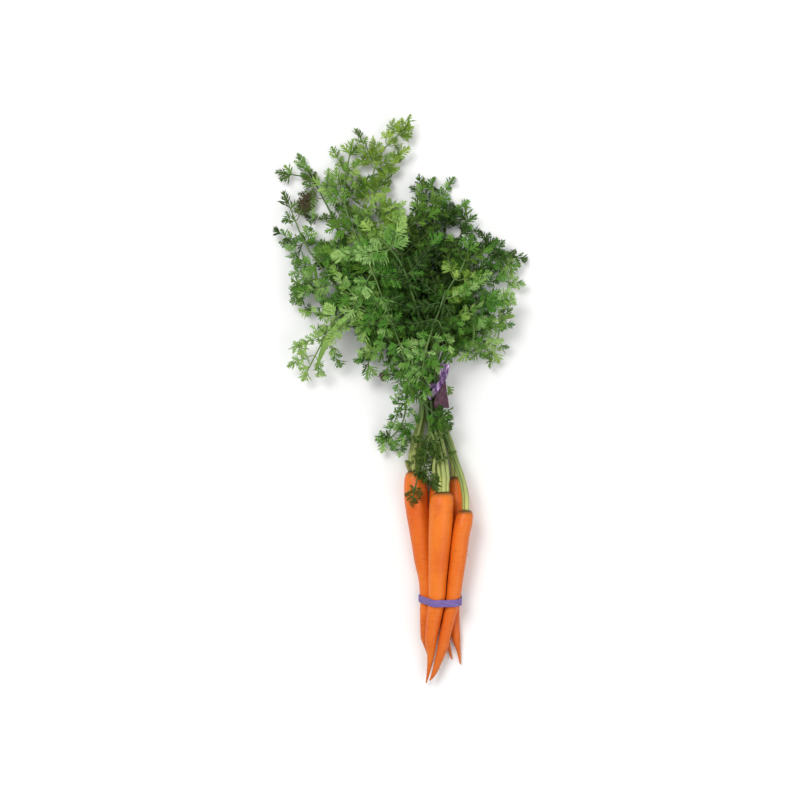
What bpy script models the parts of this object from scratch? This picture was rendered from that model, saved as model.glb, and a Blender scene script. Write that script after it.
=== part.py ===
"""A bunch of carrots with their tops, lying on a table with the leaves at +Y and the root tips at -Y.

Lengths inside the script are millimetres, and finish() turns them into metres.
"""

import math
import random

import bmesh
import bpy
import numpy as np
from mathutils import Vector
from mathutils.bvhtree import BVHTree

MM = 0.001
SEED = 11
GAP = 0.3

# Roots: each ring is x, y, radius and the height of its underside.
ROOT_SIDES = 12
ROOT_FLAT = math.cos(math.pi / ROOT_SIDES)
ROOTS = {
    "root_left": [
        (12.5, -64.8, 5.0, 5.6), (12.9, -67.0, 7.6, 3.0), (13.6, -72.0, 9.6, 1.1),
        (14.4, -80.0, 10.8, 0.0), (14.7, -92.0, 10.8, 0.0), (16.0, -104.0, 10.3, 0.1),
        (17.6, -115.0, 9.9, 0.25), (19.4, -129.0, 9.2, 0.5), (21.7, -149.0, 8.2, 1.0),
        (24.0, -163.0, 6.9, 1.5), (24.4, -181.8, 5.9, 1.8), (23.2, -200.0, 5.1, 1.8),
        (22.6, -217.8, 3.8, 1.8), (26.0, -229.0, 2.3, 1.9), (27.9, -242.0, 0.6, 2.2),
    ],
    "root_middle_back": [
        (34.7, -76.5, 4.6, 4.2), (34.7, -79.0, 6.6, 2.2), (34.8, -84.0, 8.0, 0.7),
        (34.9, -92.0, 8.6, 0.0), (35.2, -104.0, 8.4, 0.0), (35.8, -115.0, 7.9, 0.2),
        (36.2, -129.0, 7.2, 0.5), (36.7, -149.0, 6.4, 1.0), (36.9, -163.0, 5.8, 1.5),
        (36.3, -181.8, 5.4, 1.8), (38.6, -200.0, 4.3, 1.8), (42.0, -217.0, 2.8, 1.8),
        (44.5, -226.0, 1.8, 1.9), (47.5, -236.7, 0.6, 2.2),
    ],
    "root_right_back": [
        (50.6, -70.2, 4.4, 4.4), (50.8, -74.0, 6.0, 2.7), (51.6, -82.0, 7.3, 1.3),
        (52.6, -90.0, 8.6, 0.1), (53.1, -97.0, 9.0, 0.0), (53.1, -110.0, 8.9, 0.0),
        (52.5, -122.0, 8.4, 0.25), (51.6, -136.0, 7.8, 0.5), (50.8, -149.0, 7.2, 1.0),
        (49.9, -162.0, 6.7, 1.5), (48.2, -181.8, 6.0, 1.8), (49.0, -200.0, 5.2, 1.8),
        (51.2, -217.8, 3.9, 1.8), (53.6, -229.5, 1.7, 1.8), (55.2, -241.2, 0.6, 2.2),
    ],
    "root_front": [
        (38.3, -82.8, 5.5, 23.7), (38.2, -84.6, 8.4, 20.9), (37.7, -88.0, 10.3, 19.1),
        (37.2, -94.0, 11.0, 18.4), (36.8, -110.0, 10.8, 18.4), (36.0, -122.0, 10.4, 17.7),
        (35.2, -136.0, 9.7, 16.7), (34.6, -149.0, 9.0, 15.8), (34.0, -160.0, 8.4, 15.0),
        (33.3, -181.8, 7.6, 13.0), (30.5, -200.0, 6.8, 10.8), (27.9, -217.8, 5.6, 8.6),
        (28.3, -228.6, 3.8, 7.9), (27.3, -239.0, 2.5, 7.6), (26.1, -246.6, 1.7, 7.4),
        (23.9, -258.0, 0.6, 7.0),
    ],
    "root_right_front": [
        (59.2, -99.6, 4.6, 22.1), (59.0, -101.2, 6.4, 20.2), (58.2, -105.0, 7.8, 18.8),
        (56.9, -113.0, 8.3, 18.5), (55.0, -122.0, 8.0, 17.9), (53.2, -136.0, 7.8, 17.1),
        (51.8, -149.0, 7.4, 16.3), (50.2, -162.0, 7.0, 15.4), (47.9, -181.8, 6.5, 14.1),
        (43.9, -200.0, 5.4, 12.1), (40.5, -217.0, 5.3, 9.0), (38.9, -226.0, 4.9, 8.6),
        (34.2, -239.4, 3.4, 9.0), (30.6, -250.0, 2.3, 9.6), (27.2, -255.0, 0.7, 10.8),
    ],
}

# Rubber band round the roots
BAND_Y = -181.3
BAND_MIDDLE_Z = 14.0
BAND_WIDTH = 6.35
BAND_THICK = 1.0
BAND_TILT = 0.12
BAND_STEPS = 36

# Neck, where the leaf stalks are tied
NECK = Vector((27.9, 12.6, 16.0))
UNTIED = Vector((-12, 0, 8))
NECK_HALF = 4.0
NECK_LEAD = 9.0
PITCH = 3.3
CROWN_PITCH = 3.6
STALK_SIDES = 6
STALK_BASE, STALK_NECK, STALK_BLADE, STALK_TIP = 1.75, 1.5, 1.05, 0.55
CROWN_LEAD = 7.0
BASE_LENGTH = 12.0
STEP = 3.5
BEND_ERROR = 0.6
SETTLE_TURNS = 70
SETTLE_CLEAR = 0.9
SETTLE_SHARE, SETTLE_MOST = 0.4, 1.0

# Twist tie: each tail is a list of x, y, z and width
TIE_THICK = 0.8
TIE_WIDTH = 4.6
TIE_STEPS = 20
TIE_INSIDE = 8.5
TIE_TAILS = {
    2: [(38.0, 17.0, 27.4, 4.0), (39.2, 22.0, 29.0, 6.5), (40.6, 30.5, 30.0, 7.5)],
    3: [(37.2, 9.0, 25.6, 6.5), (37.6, 4.0, 26.0, 8.6), (38.4, -5.5, 26.2, 12.4)],
    1: [(34.6, 7.5, 28.2, 4.6), (31.0, 3.5, 28.6, 5.2), (26.5, -2.0, 28.2, 5.4)],
}

# Pinna and leaflet sizes
BASE_HALF = 1.2
RIB_HALF_WIDE, RIB_HALF_NARROW = 1.5, 0.6
HALF_THICK = 0.38
SWELL = 0.45
LEAFLET_BASE = 9.6
LIFTS = (0.0, 0.16, -0.16, 0.32, -0.32, 0.5, -0.5)
SCALES = (1.0, 0.8, 0.62, 0.45)
TABLE_CLEAR = 0.9
TAPER, TAPER_POWER = 0.64, 1.5
FIRST_SHORTER = 0.86
LEAN_FIRST, LEAN_LAST, LEAN_VARY = 66, 42, 5
SWEEP, DROOP = (0.02, 0.2), (0.04, 0.24)
CROWDING, TIP_BARE = 0.92, 3.0
REACH_OF_GAP, REACH_OF_LENGTH = 0.56, 0.45
REACH_FIRST, REACH_FALL, REACH_END, REACH_EASE = 1.05, 0.6, 0.7, 0.25
LEAFLET_OUT, LEAFLET_ON, LEAFLET_VARY = 0.87, 0.6, 0.1
LIFT_BEND, RISE_VARY, END_SITE = 0.5, 0.2, 0.35
LENGTH_VARY, BLADE_LEAST = (0.88, 1.08), 12.0

# Slots of the neck: row from the bottom, place across
SLOTS = {
    "A1": (-1.0, -2), "A2": (0.0, -2), "A3": (1.0, -2),
    "B1": (-1.5, -1), "B2": (-0.5, -1), "B3": (0.5, -1), "B4": (1.5, -1),
    "C1": (-2.0, 0), "C2": (-1.0, 0), "C3": (0.0, 0), "C4": (1.0, 0), "C5": (2.0, 0),
    "D1": (-1.5, 1), "D2": (-0.5, 1), "D3": (0.5, 1), "D4": (1.5, 1),
    "E1": (-1.0, 2), "E2": (0.0, 2), "E3": (1.0, 2),
}

# Fronds: root, slot, points beyond the neck, length before the leafy part, longest pinna, pairs, tint
FRONDS = {
    "frond_fold_centre": (
        "root_front", "D2",
        [(23, 45, 38), (12, 90, 58), (-6, 130, 67), (-20, 142, 67), (-27, 128, 65), (-19, 100, 62),
         (-7, 68, 58), (3, 40, 53), (9, 14, 46)],
        104, 36, 8, "bright",
    ),
    "frond_fold_neck": (
        "root_front", "E3",
        [(31, 35, 33), (35, 65, 50), (39, 88, 60), (40, 96, 63), (37, 86, 64), (29, 64, 61), (22, 40, 56),
         (19, 18, 50)],
        80, 27, 6, "light",
    ),
    "frond_drape": (
        "root_front", "E1",
        [(22, 29, 26), (15, 32, 33), (8, 20, 36), (6, 0, 32), (3, -18, 25), (-5, -31, 18),
         (-17, -40, 9)],
        10, 18, 6, "bright",
    ),
    "frond_collar": (
        "root_front", "E2",
        [(26, 29, 27), (20, 28, 35), (14, 18, 39), (16, 4, 39), (25, -7, 37), (38, -18, 32)],
        26, 20, 4, "bright",
    ),
    "frond_fern": (
        "root_front", None,
        [(31, -62, 36), (32, -42, 40), (27, -29, 40), (22, -38, 36), (18, -60, 31), (11, -91, 25)],
        30, 19, 6, "dark",
    ),
    "frond_yellow": (
        "root_right_front", "C4",
        [(34, 45, 26), (36, 70, 40), (42, 96, 50), (56, 120, 50), (62, 138, 46)],
        34, 32, 5, "yellow",
    ),
    "frond_low_left": (
        "root_left", "D1",
        [(8, 34, 29), (-15, 60, 45), (-36, 84, 52), (-56, 74, 46), (-72, 48, 32), (-84, 26, 20)],
        44, 34, 6, "bright",
    ),
    "frond_inner_left": (
        "root_left", "C2",
        [(10, 36, 24), (-8, 58, 36), (-20, 64, 40), (-26, 47, 36), (-29, 28, 28)],
        24, 18, 4, "dark",
    ),
    "frond_inner_right": (
        "root_right_front", "D4",
        [(39, 40, 26), (48, 70, 38), (59, 80, 44), (66, 64, 40), (61, 38, 30)],
        26, 28, 4, "dark",
    ),
    "frond_crown_mid": (
        "root_front", "D3",
        [(30, 50, 34), (16, 90, 42), (2, 126, 46), (6, 162, 42), (30, 180, 38)],
        42, 40, 6, "yellow",
    ),
    "frond_mid_left": (
        "root_left", "C1",
        [(5, 38, 20), (-24, 70, 30), (-53, 98, 33), (-78, 109, 28), (-93, 102, 20)],
        34, 36, 6, "light",
    ),
    "frond_mid_right": (
        "root_right_back", "C5",
        [(46, 42, 20), (62, 74, 28), (78, 97, 33), (89, 82, 28), (89, 58, 20), (84, 40, 14)],
        30, 36, 6, "bright",
    ),
    "frond_left": (
        "root_left", "B1",
        [(5, 40, 14), (-30, 76, 19), (-63, 110, 21), (-86, 142, 20), (-97, 168, 18), (-101, 178, 16)],
        42, 36, 7, "dark",
    ),
    "frond_right": (
        "root_right_back", "B4",
        [(42, 50, 13), (52, 95, 17), (66, 127, 19), (84, 139, 19), (100, 120, 15)],
        34, 36, 6, "bright",
    ),
    "frond_core": (
        "root_front", "C3",
        [(28, 50, 22), (26, 95, 27), (28, 140, 26), (34, 168, 22)],
        22, 44, 5, "dark",
    ),
    "frond_crest_left": (
        "root_middle_back", "B2",
        [(18, 50, 12), (-12, 95, 17), (-36, 140, 19), (-51, 185, 16), (-45, 227, 12)],
        56, 38, 6, "light",
    ),
    "frond_crest": (
        "root_middle_back", "A2",
        [(22, 48, 9), (3, 95, 9), (-12, 140, 10), (-22, 178, 11), (-24, 206, 12), (-15, 227, 13),
         (2, 244, 15)],
        66, 40, 7, "light",
    ),
    "frond_top_left": (
        "root_middle_back", "A1",
        [(8, 50, 7), (-24, 95, 6), (-53, 146, 6), (-68, 180, 7), (-82, 201, 8), (-103, 206, 10)],
        56, 30, 7, "dull",
    ),
    "frond_top_right": (
        "root_right_back", "B3",
        [(33, 58, 11), (34, 110, 10), (34, 145, 9), (33, 170, 8), (29, 194, 9)],
        44, 38, 6, "dark",
    ),
    "frond_back_right": (
        "root_middle_back", "A3",
        [(37, 50, 8), (46, 90, 6), (55, 120, 6), (60, 146, 7), (60, 167, 9)],
        36, 36, 5, "dark",
    ),
}

# Colours as red, green, blue, roughness
TINTS = {
    "root": (0.78, 0.22, 0.035, 0.45),
    "bright": (0.085, 0.19, 0.035, 0.55),
    "light": (0.19, 0.31, 0.09, 0.6),
    "yellow": (0.17, 0.26, 0.06, 0.55),
    "dark": (0.045, 0.11, 0.025, 0.55),
    "dull": (0.15, 0.2, 0.1, 0.65),
    "band": (0.22, 0.12, 0.4, 0.5),
    "tie": (0.12, 0.035, 0.08, 0.35),
}


def smooth_line(points, step):
    """Points about one step apart on a smooth curve through the given ones."""
    points = np.array(points, float)
    chords = np.linalg.norm(np.diff(points, axis=0), axis=1)
    knots = np.concatenate([[0], np.cumsum(chords)])
    slopes = np.gradient(points, knots, axis=0)
    line = [points[0]]
    for i, chord in enumerate(chords):
        count = max(1, round(chord / step))
        for j in range(1, count + 1):
            t = j / count
            line.append(
                (2 * t**3 - 3 * t**2 + 1) * points[i]
                + (t**3 - 2 * t**2 + t) * chord * slopes[i]
                + (3 * t**2 - 2 * t**3) * points[i + 1]
                + (t**3 - t**2) * chord * slopes[i + 1]
            )
    return np.array(line)


def slot_place(name):
    across, row = SLOTS[name]
    return NECK + Vector((across * PITCH, 0, row * PITCH * math.sqrt(3) / 2))


def crown_places():
    """Where each stalk stands on the crown of its root, in the same order round as in the neck."""
    places = {}
    for root, rings in ROOTS.items():
        x, y, radius, low = rings[0]
        middle = Vector((x, y + GAP, low + radius * ROOT_FLAT))
        own = [name for name, frond in FRONDS.items() if frond[0] == root]
        ends = {name: slot_place(FRONDS[name][1]) if FRONDS[name][1] else NECK + UNTIED for name in own}
        centre = sum(ends.values(), Vector()) / len(own)
        turns = {name: math.atan2(ends[name].z - centre.z, ends[name].x - centre.x) for name in own}
        own.sort(key=turns.get)
        reach = CROWN_PITCH / (2 * math.sin(math.pi / len(own)))
        start = sum(turns[name] - 2 * math.pi * i / len(own) for i, name in enumerate(own)) / len(own)
        for i, name in enumerate(own):
            turn = start + 2 * math.pi * i / len(own)
            places[name] = middle + reach * Vector((math.cos(turn), 0, math.sin(turn)))
    return places


def stalk_lines():
    """The centre line of each frond and which of its points stay put."""
    places = crown_places()
    lines, held, slot_at = {}, {}, {}
    for name, (_, slot, beyond, _, _, _, _) in FRONDS.items():
        base = places[name]
        points = [base, base + Vector((0, CROWN_LEAD, 0))]
        if slot:
            place = slot_place(slot)
            points += [place + Vector((0, y, 0)) for y in (-NECK_LEAD, -NECK_HALF, NECK_HALF, NECK_LEAD)]
        line = smooth_line([*map(tuple, points), *beyond], STEP)
        still = np.zeros(len(line), bool)
        still[:3] = True
        slot_at[name] = 0.0
        if slot:
            neck = np.abs(line[:, 1] - NECK.y) <= NECK_HALF + GAP
            first = int(np.argmax(neck))
            last = first + int(np.argmin(neck[first:]))
            still[first:last] = True
            steps = np.linalg.norm(np.diff(line, axis=0), axis=1)
            slot_at[name] = float(steps[:last].sum())
        lines[name], held[name] = line, still
    return lines, held, slot_at


def radii_along(name, line, slot_at):
    """Distances along a line and the stalk radius at each of them."""
    along = np.concatenate([[0], np.cumsum(np.linalg.norm(np.diff(line, axis=0), axis=1))])
    blade = min(slot_at + FRONDS[name][3], along[-1] - BLADE_LEAST)
    neck = slot_at if slot_at else blade / 2
    radius = np.interp(along, [0, BASE_LENGTH, neck, blade, along[-1]],
                       [STALK_BASE, STALK_BASE, STALK_NECK, STALK_BLADE, STALK_TIP])
    return along, radius, blade


def settle(lines, held, slot_at):
    """Pushes the stalks apart where they come too near each other, and keeps them above the table."""
    names = list(lines)
    rest = np.concatenate([lines[name] for name in names])
    owner = np.concatenate([np.full(len(lines[name]), i) for i, name in enumerate(names)])
    radius = np.concatenate([radii_along(name, lines[name], slot_at[name])[1] for name in names])
    free = ~np.concatenate([held[name] for name in names])
    apart = owner[:, None] != owner[None, :]
    need = radius[:, None] + radius[None, :] + SETTLE_CLEAR
    ends = np.concatenate([[True], owner[1:] != owner[:-1], [True]])
    inner = ~(ends[:-1] | ends[1:])
    shift = np.zeros_like(rest)
    for _ in range(SETTLE_TURNS):
        now = rest + shift
        squared = (now**2).sum(axis=1)
        distance = np.sqrt(np.maximum(squared[:, None] + squared[None, :] - 2 * now @ now.T, 1e-9))
        first, second = np.nonzero(apart & (distance < need))
        away = now[first] - now[second]
        length = np.maximum(distance[first, second], 0.05)[:, None]
        push = np.zeros_like(rest)
        np.add.at(push, first, SETTLE_SHARE * away / length * (need[first, second][:, None] - length))
        push = np.clip(push, -SETTLE_MOST, SETTLE_MOST)
        beside = (np.roll(shift, 1, axis=0) + np.roll(shift, -1, axis=0)) / 2
        even = shift.copy()
        even[inner] = (shift[inner] + beside[inner]) / 2
        shift = (even + push) * free[:, None]
        low = radius + TABLE_CLEAR - (rest + shift)[:, 2]
        shift[:, 2] += np.maximum(low, 0) * free
    now = rest + shift
    return {name: now[owner == i] for i, name in enumerate(names)}


class Stem:
    """A centre line with a frame that keeps the leaves facing up."""

    def __init__(self, line, along, radius):
        self.line, self.along, self.radius = line, along, radius
        tangents = np.gradient(line, along, axis=0)
        self.tangents = tangents / np.linalg.norm(tangents, axis=1)[:, None]
        up = np.array([0.0, 0.0, 1.0])
        normals = up - self.tangents * (self.tangents @ up)[:, None]
        self.normals = normals / np.linalg.norm(normals, axis=1)[:, None]

    def marks(self, start, end, most=BEND_ERROR):
        """Distances between start and end at which straight spans stay close to the line."""
        inner = np.nonzero((self.along > start + 2) & (self.along < end - 2))[0]
        if not len(inner):
            return [start]
        first, last = (np.array(self.at(distance)[0]) for distance in (start, end))
        chord = (last - first) / np.linalg.norm(last - first)
        away = self.line[inner] - first
        away -= np.outer(away @ chord, chord)
        worst = int(np.argmax(np.linalg.norm(away, axis=1)))
        if np.linalg.norm(away[worst]) < most:
            return [start]
        split = float(self.along[inner[worst]])
        return self.marks(start, split, most) + self.marks(split, end, most)

    def at(self, distance):
        """Place, tangent, side, normal and radius at a distance along."""
        rows = (*self.line.T, *self.tangents.T, *self.normals.T, self.radius)
        pick = [float(np.interp(distance, self.along, row)) for row in rows]
        tangent = Vector(pick[3:6]).normalized()
        side = Vector(pick[6:9]).cross(tangent).normalized()
        return Vector(pick[:3]), tangent, side, tangent.cross(side), pick[9]


def loft(bm, rings):
    """A closed body through rings of points, and its side walls row by row."""
    rows = [[bm.verts.new(point) for point in ring] for ring in rings]
    count = len(rows[0])
    walls = []
    for near, far in zip(rows, rows[1:]):
        row = []
        for i in range(count):
            j = (i + 1) % count
            row.append(bm.faces.new((near[i], near[j], far[j], far[i])))
        walls.append(row)
    bm.faces.new(reversed(rows[0]))
    bm.faces.new(rows[-1])
    return walls


def circle_ring(centre, side, normal, radius, sides, turn):
    angles = [turn + 2 * math.pi * i / sides for i in range(sides)]
    return [centre + radius * (math.cos(a) * side + math.sin(a) * normal) for a in angles]


def grow(bm, face, ring):
    """Extrudes a four-sided face to a ring, each corner to the ring's point that suits it."""
    end = bmesh.ops.extrude_discrete_faces(bm, faces=[face])["faces"][0]
    corners = list(end.verts)
    count = len(corners)

    def travel(turn):
        return sum((ring[(i + turn) % count] - corner.co).length for i, corner in enumerate(corners))

    best = min(range(count), key=travel)
    for i, corner in enumerate(corners):
        corner.co = ring[(i + best) % count]
    return end


def flank(end, direction):
    """The wall behind an end face that looks most in the given direction."""
    walls = [wall for edge in end.edges for wall in edge.link_faces if wall != end]
    for wall in walls:
        wall.normal_update()
    return max(walls, key=lambda wall: wall.normal.dot(direction))


def leaflet(bm, wall, tip, normal, half):
    """A pointed blade of even thickness grown from a wall."""
    middle = wall.calc_center_median()
    end = bmesh.ops.extrude_discrete_faces(bm, faces=[wall])["faces"][0]
    high = [corner for corner in end.verts if (corner.co - middle).dot(normal) > 0]
    low = [corner for corner in end.verts if corner not in high]
    for corner in high:
        corner.co = tip + normal * half
    for corner in low:
        corner.co = tip - normal * half
    bmesh.ops.weld_verts(bm, targetmap={high[1]: high[0], low[1]: low[0]})


class Pinna:
    """One side branch of a frond: a rib with pointed leaflets on both flanks."""

    def __init__(self, stem, distance, hand, length, lean, reach, count, noise):
        place, tangent, side, normal, radius = stem.at(distance)
        self.place, self.tangent, self.side, self.normal = place, tangent, side * hand, normal
        self.radius, self.hand, self.length, self.lean = radius, hand, length, lean
        self.reach, self.count, self.noise = reach, count, noise
        self.rise = RISE_VARY * (2 * noise[2] - 1)

    def rib(self, lift, scale):
        """Places, directions and side directions along the rib."""
        start = self.place + self.side * self.radius * math.cos(math.pi / STALK_SIDES)
        ahead = self.tangent * math.cos(self.lean) + self.side * math.sin(self.lean)
        ahead = ahead * math.cos(lift) + self.normal * math.sin(lift)
        length = self.length * scale
        points = []
        for i in range(self.count + 1):
            run = length * i / self.count
            bend = run * run / max(self.length, 1)
            points.append(start + ahead * run + self.tangent * bend * self.noise[0]
                          - self.normal * bend * (LIFT_BEND * lift + self.noise[1]))
        frames = []
        for i in range(1, len(points)):
            direction = (points[i] - points[i - 1]).normalized()
            across = self.normal.cross(direction).normalized()
            frames.append((points[i - 1], points[i], direction, across, direction.cross(across)))
        return frames

    def build(self, bm, wall, lift, scale, swell):
        """Grows the pinna from a wall of the stalk."""
        face = wall
        frames = self.rib(lift, scale)
        half = HALF_THICK + swell
        pending = []
        for i, (near, far, direction, across, normal) in enumerate(frames):
            share = (i + 1) / self.count
            wide = RIB_HALF_WIDE + (RIB_HALF_NARROW - RIB_HALF_WIDE) * share + swell
            ring = [far - across * wide - normal * half, far + across * wide - normal * half,
                    far + across * wide + normal * half, far - across * wide + normal * half]
            face = grow(bm, face, ring)
            reach = self.reach * (REACH_FIRST - REACH_FALL * share) * (1 - REACH_EASE * (1 - scale))
            for hand in (1, -1):
                vary = LEAFLET_VARY * (2 * self.noise[3 + (2 * i + (hand > 0)) % 6] - 1)
                size = reach * (1 + vary) + swell
                tip = (near + far) / 2 + (across * hand * LEAFLET_OUT + direction * LEAFLET_ON) * size
                pending.append((flank(face, across * hand), tip, normal))
        _, far, direction, _, normal = frames[-1]
        pending.append((face, far + direction * (self.reach * REACH_END + swell), normal))
        for face, tip, normal in pending:
            leaflet(bm, face, tip, normal, half)

    def trial(self, lift, scale):
        """A swollen copy of the pinna on its own, to try where it would touch."""
        bm = bmesh.new()
        start = self.place + self.side * (self.radius + SWELL)
        wide, half = BASE_HALF + SWELL, HALF_THICK + SWELL
        corners = [start + self.tangent * wide * a + self.normal * half * b for a, b in
                   ((-1, -1), (1, -1), (1, 1), (-1, 1))]
        if self.hand > 0:
            corners.reverse()
        face = bm.faces.new([bm.verts.new(corner) for corner in corners])
        self.build(bm, face, lift, scale, SWELL)
        tree = BVHTree.FromBMesh(bm)
        low = min(vert.co.z for vert in bm.verts)
        bm.free()
        return tree, low


def stalk_of(name, line, slot_at):
    """The stalk of a frond with the sites where its pinnae grow."""
    along, radius, blade = radii_along(name, line, slot_at)
    stem = Stem(line, along, radius)
    _, _, _, _, width, pairs, _ = FRONDS[name]
    total = along[-1]
    stops = [0, slot_at - 2 * NECK_HALF, slot_at, blade] if slot_at else [0, blade]
    bare = [mark for start, end in zip(stops, stops[1:]) for mark in stem.marks(start, end - BASE_HALF)]
    leafy = total - blade - TIP_BARE
    sites = [blade + leafy * (i / (pairs - END_SITE)) ** CROWDING for i in range(pairs)]
    pinna_marks = [distance + offset for distance in sites for offset in (-BASE_HALF, BASE_HALF)]
    marks = [*bare, *pinna_marks, total]
    rings = []
    for distance in marks:
        place, _, side, normal, thick = stem.at(distance)
        rings.append(circle_ring(place, side, normal, thick, STALK_SIDES, math.pi / STALK_SIDES))
    bm = bmesh.new()
    walls = loft(bm, rings)
    spots = []
    for i, distance in enumerate(sites):
        row = walls[len(bare) + 2 * i]
        gap = (total - blade) / pairs
        spots.append((distance, i / pairs, gap, {1: row[STALK_SIDES - 1], -1: row[STALK_SIDES // 2 - 1]}))
    return bm, stem, spots, width


def pinnae_of(name, stem, spots, width):
    """The pinnae of a frond with the walls that they grow from."""
    rng = random.Random(f"{SEED}{name}")
    made = []
    for distance, share, gap, walls in spots:
        for hand, wall in walls.items():
            length = width * (1 - TAPER * share**TAPER_POWER) * rng.uniform(*LENGTH_VARY)
            length *= FIRST_SHORTER if share == 0 else 1
            lean = LEAN_FIRST + (LEAN_LAST - LEAN_FIRST) * share + rng.uniform(-LEAN_VARY, LEAN_VARY)
            lean = math.radians(lean)
            noise = [rng.uniform(*SWEEP), rng.uniform(*DROOP), *(rng.random() for _ in range(7))]
            count = max(2, min(4, round(length / LEAFLET_BASE)))
            reach = min(REACH_OF_GAP * gap * math.sin(lean), REACH_OF_LENGTH * length)
            made.append((Pinna(stem, distance, hand, length, lean, reach, count, noise), wall))
    return made


def fits(tree, low, trees):
    return low > GAP and not any(tree.overlap(other) for other in trees)


def grow_pinnae(bm, pinnae, trees):
    """Grows each pinna at the first lift and size at which it touches nothing."""
    own = []
    for pinna, wall in pinnae:
        for scale, turn in ((scale, turn) for scale in SCALES for turn in LIFTS):
            lift = pinna.rise + turn
            tree, low = pinna.trial(lift, scale)
            if fits(tree, low, trees + own):
                pinna.build(bm, wall, lift, scale, 0)
                own.append(tree)
                break


def finish(bm, name, tint, collection):
    """Turns a built shape into an object in metres."""
    bmesh.ops.triangulate(bm, faces=bm.faces[:])
    bmesh.ops.recalc_face_normals(bm, faces=bm.faces[:])
    bmesh.ops.scale(bm, vec=(MM, MM, MM), verts=bm.verts[:])
    mesh = bpy.data.meshes.new(name)
    bm.to_mesh(mesh)
    bm.free()
    mesh.shade_smooth()
    mesh.materials.append(material(tint))
    collection.objects.link(bpy.data.objects.new(name, mesh))


def material(tint):
    name = f"{tint}_colour"
    if name in bpy.data.materials:
        return bpy.data.materials[name]
    made = bpy.data.materials.new(name)
    made.use_nodes = True
    red, green, blue, roughness = TINTS[tint]
    shader = made.node_tree.nodes["Principled BSDF"]
    shader.inputs["Base Color"].default_value = (red, green, blue, 1)
    shader.inputs["Roughness"].default_value = roughness
    shader.inputs["Metallic"].default_value = 0.0
    return made


def root_shape(rings):
    bm = bmesh.new()
    across, up = Vector((1, 0, 0)), Vector((0, 0, 1))
    turn = math.pi / ROOT_SIDES - math.pi / 2
    loft(bm, [circle_ring(Vector((x, y, low + radius * ROOT_FLAT)), across, up, radius, ROOT_SIDES, turn)
              for x, y, radius, low in rings])
    return bm


def root_section(rings, y):
    """Centre and radius of a root where the plane at y cuts it."""
    ys = [-ring[1] for ring in rings]
    x, radius, low = (float(np.interp(-y, ys, [ring[i] for ring in rings])) for i in (0, 2, 3))
    return x, low + radius * ROOT_FLAT, radius


def loop_shape(circles, gap, thick, steps, place):
    """A band round the hull of circles; place turns x, z and an edge of -1 or 1 into a point."""
    bm = bmesh.new()
    rows = []
    for i in range(steps):
        turn = 2 * math.pi * i / steps
        ux, uz = math.cos(turn), math.sin(turn)
        x, z, radius = max(circles, key=lambda c: c[0] * ux + c[1] * uz + c[2])
        inner, outer = radius + gap, radius + gap + thick
        rows.append([bm.verts.new(place(x + ux * reach, z + uz * reach, edge))
                     for reach, edge in ((inner, -1), (outer, -1), (outer, 1), (inner, 1))])
    walls = []
    for i, row in enumerate(rows):
        after = rows[(i + 1) % steps]
        corners = [(j, (j + 1) % 4) for j in range(4)]
        walls.append([bm.faces.new((row[j], after[j], after[k], row[k])) for j, k in corners])
    bmesh.ops.recalc_face_normals(bm, faces=bm.faces[:])
    return bm, walls


def band_shape():
    circles = []
    for rings in ROOTS.values():
        _, z, _ = root_section(rings, BAND_Y)
        y = BAND_Y - BAND_TILT * (z - BAND_MIDDLE_Z) + BAND_WIDTH / 2
        circles.append(root_section(rings, y))

    def place(x, z, edge):
        return Vector((x, BAND_Y - BAND_TILT * (z - BAND_MIDDLE_Z) + edge * BAND_WIDTH / 2, z))

    return loop_shape(circles, GAP, BAND_THICK, BAND_STEPS, place)[0]


def tie_shape():
    """A ribbon loop round the neck with its ends grown from the loop's outer face."""

    def place(x, z, edge):
        return Vector((x, NECK.y + edge * TIE_WIDTH / 2, z))

    bm, walls = loop_shape([(NECK.x, NECK.z, TIE_INSIDE)], 0, TIE_THICK, TIE_STEPS, place)
    across = Vector((1, 0, 0))
    for step, tail in TIE_TAILS.items():
        face = walls[step][1]
        before = face.calc_center_median()
        for x, y, z, width in tail:
            here = Vector((x, y, z))
            ahead = (here - before).normalized()
            side = (across - ahead * across.dot(ahead)).normalized()
            normal = ahead.cross(side)
            wide, half = side * width / 2, normal * TIE_THICK / 2
            ring = [here - wide - half, here + wide - half, here + wide + half, here - wide + half]
            face = grow(bm, face, ring)
            before = here
    return bm


def main():
    for old in list(bpy.data.objects):
        bpy.data.objects.remove(old)
    collection = bpy.data.collections.new("carrot_bunch")
    bpy.context.scene.collection.children.link(collection)
    shapes = {name: (root_shape(rings), "root") for name, rings in ROOTS.items()}
    shapes["rubber_band"] = (band_shape(), "band")
    shapes["twist_tie"] = (tie_shape(), "tie")
    trees = [BVHTree.FromBMesh(bm) for bm, _ in shapes.values()]
    lines, held, slot_at = stalk_lines()
    lines = settle(lines, held, slot_at)
    stalks = {name: stalk_of(name, lines[name], slot_at[name]) for name in FRONDS}
    bare = {name: BVHTree.FromBMesh(stalk[0]) for name, stalk in stalks.items()}
    for name, (bm, stem, spots, width) in stalks.items():
        others = [tree for other, tree in bare.items() if other != name]
        grow_pinnae(bm, pinnae_of(name, stem, spots, width), trees + others)
        trees.append(BVHTree.FromBMesh(bm))
        shapes[name] = (bm, FRONDS[name][6])
    for name, (bm, tint) in shapes.items():
        finish(bm, name, tint, collection)


main()
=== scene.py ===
"""A bunch of carrots with their tops, seen from straight above on a pale table.

Lengths inside the script are millimetres, and make_piece() turns them into metres. The stalks and the side
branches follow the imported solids, and lobed leaflets, ribbed stalks and wrinkled roots take their place.
"""

import math
import random

import bpy
import numpy as np
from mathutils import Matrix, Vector
from mathutils.bvhtree import BVHTree


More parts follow.
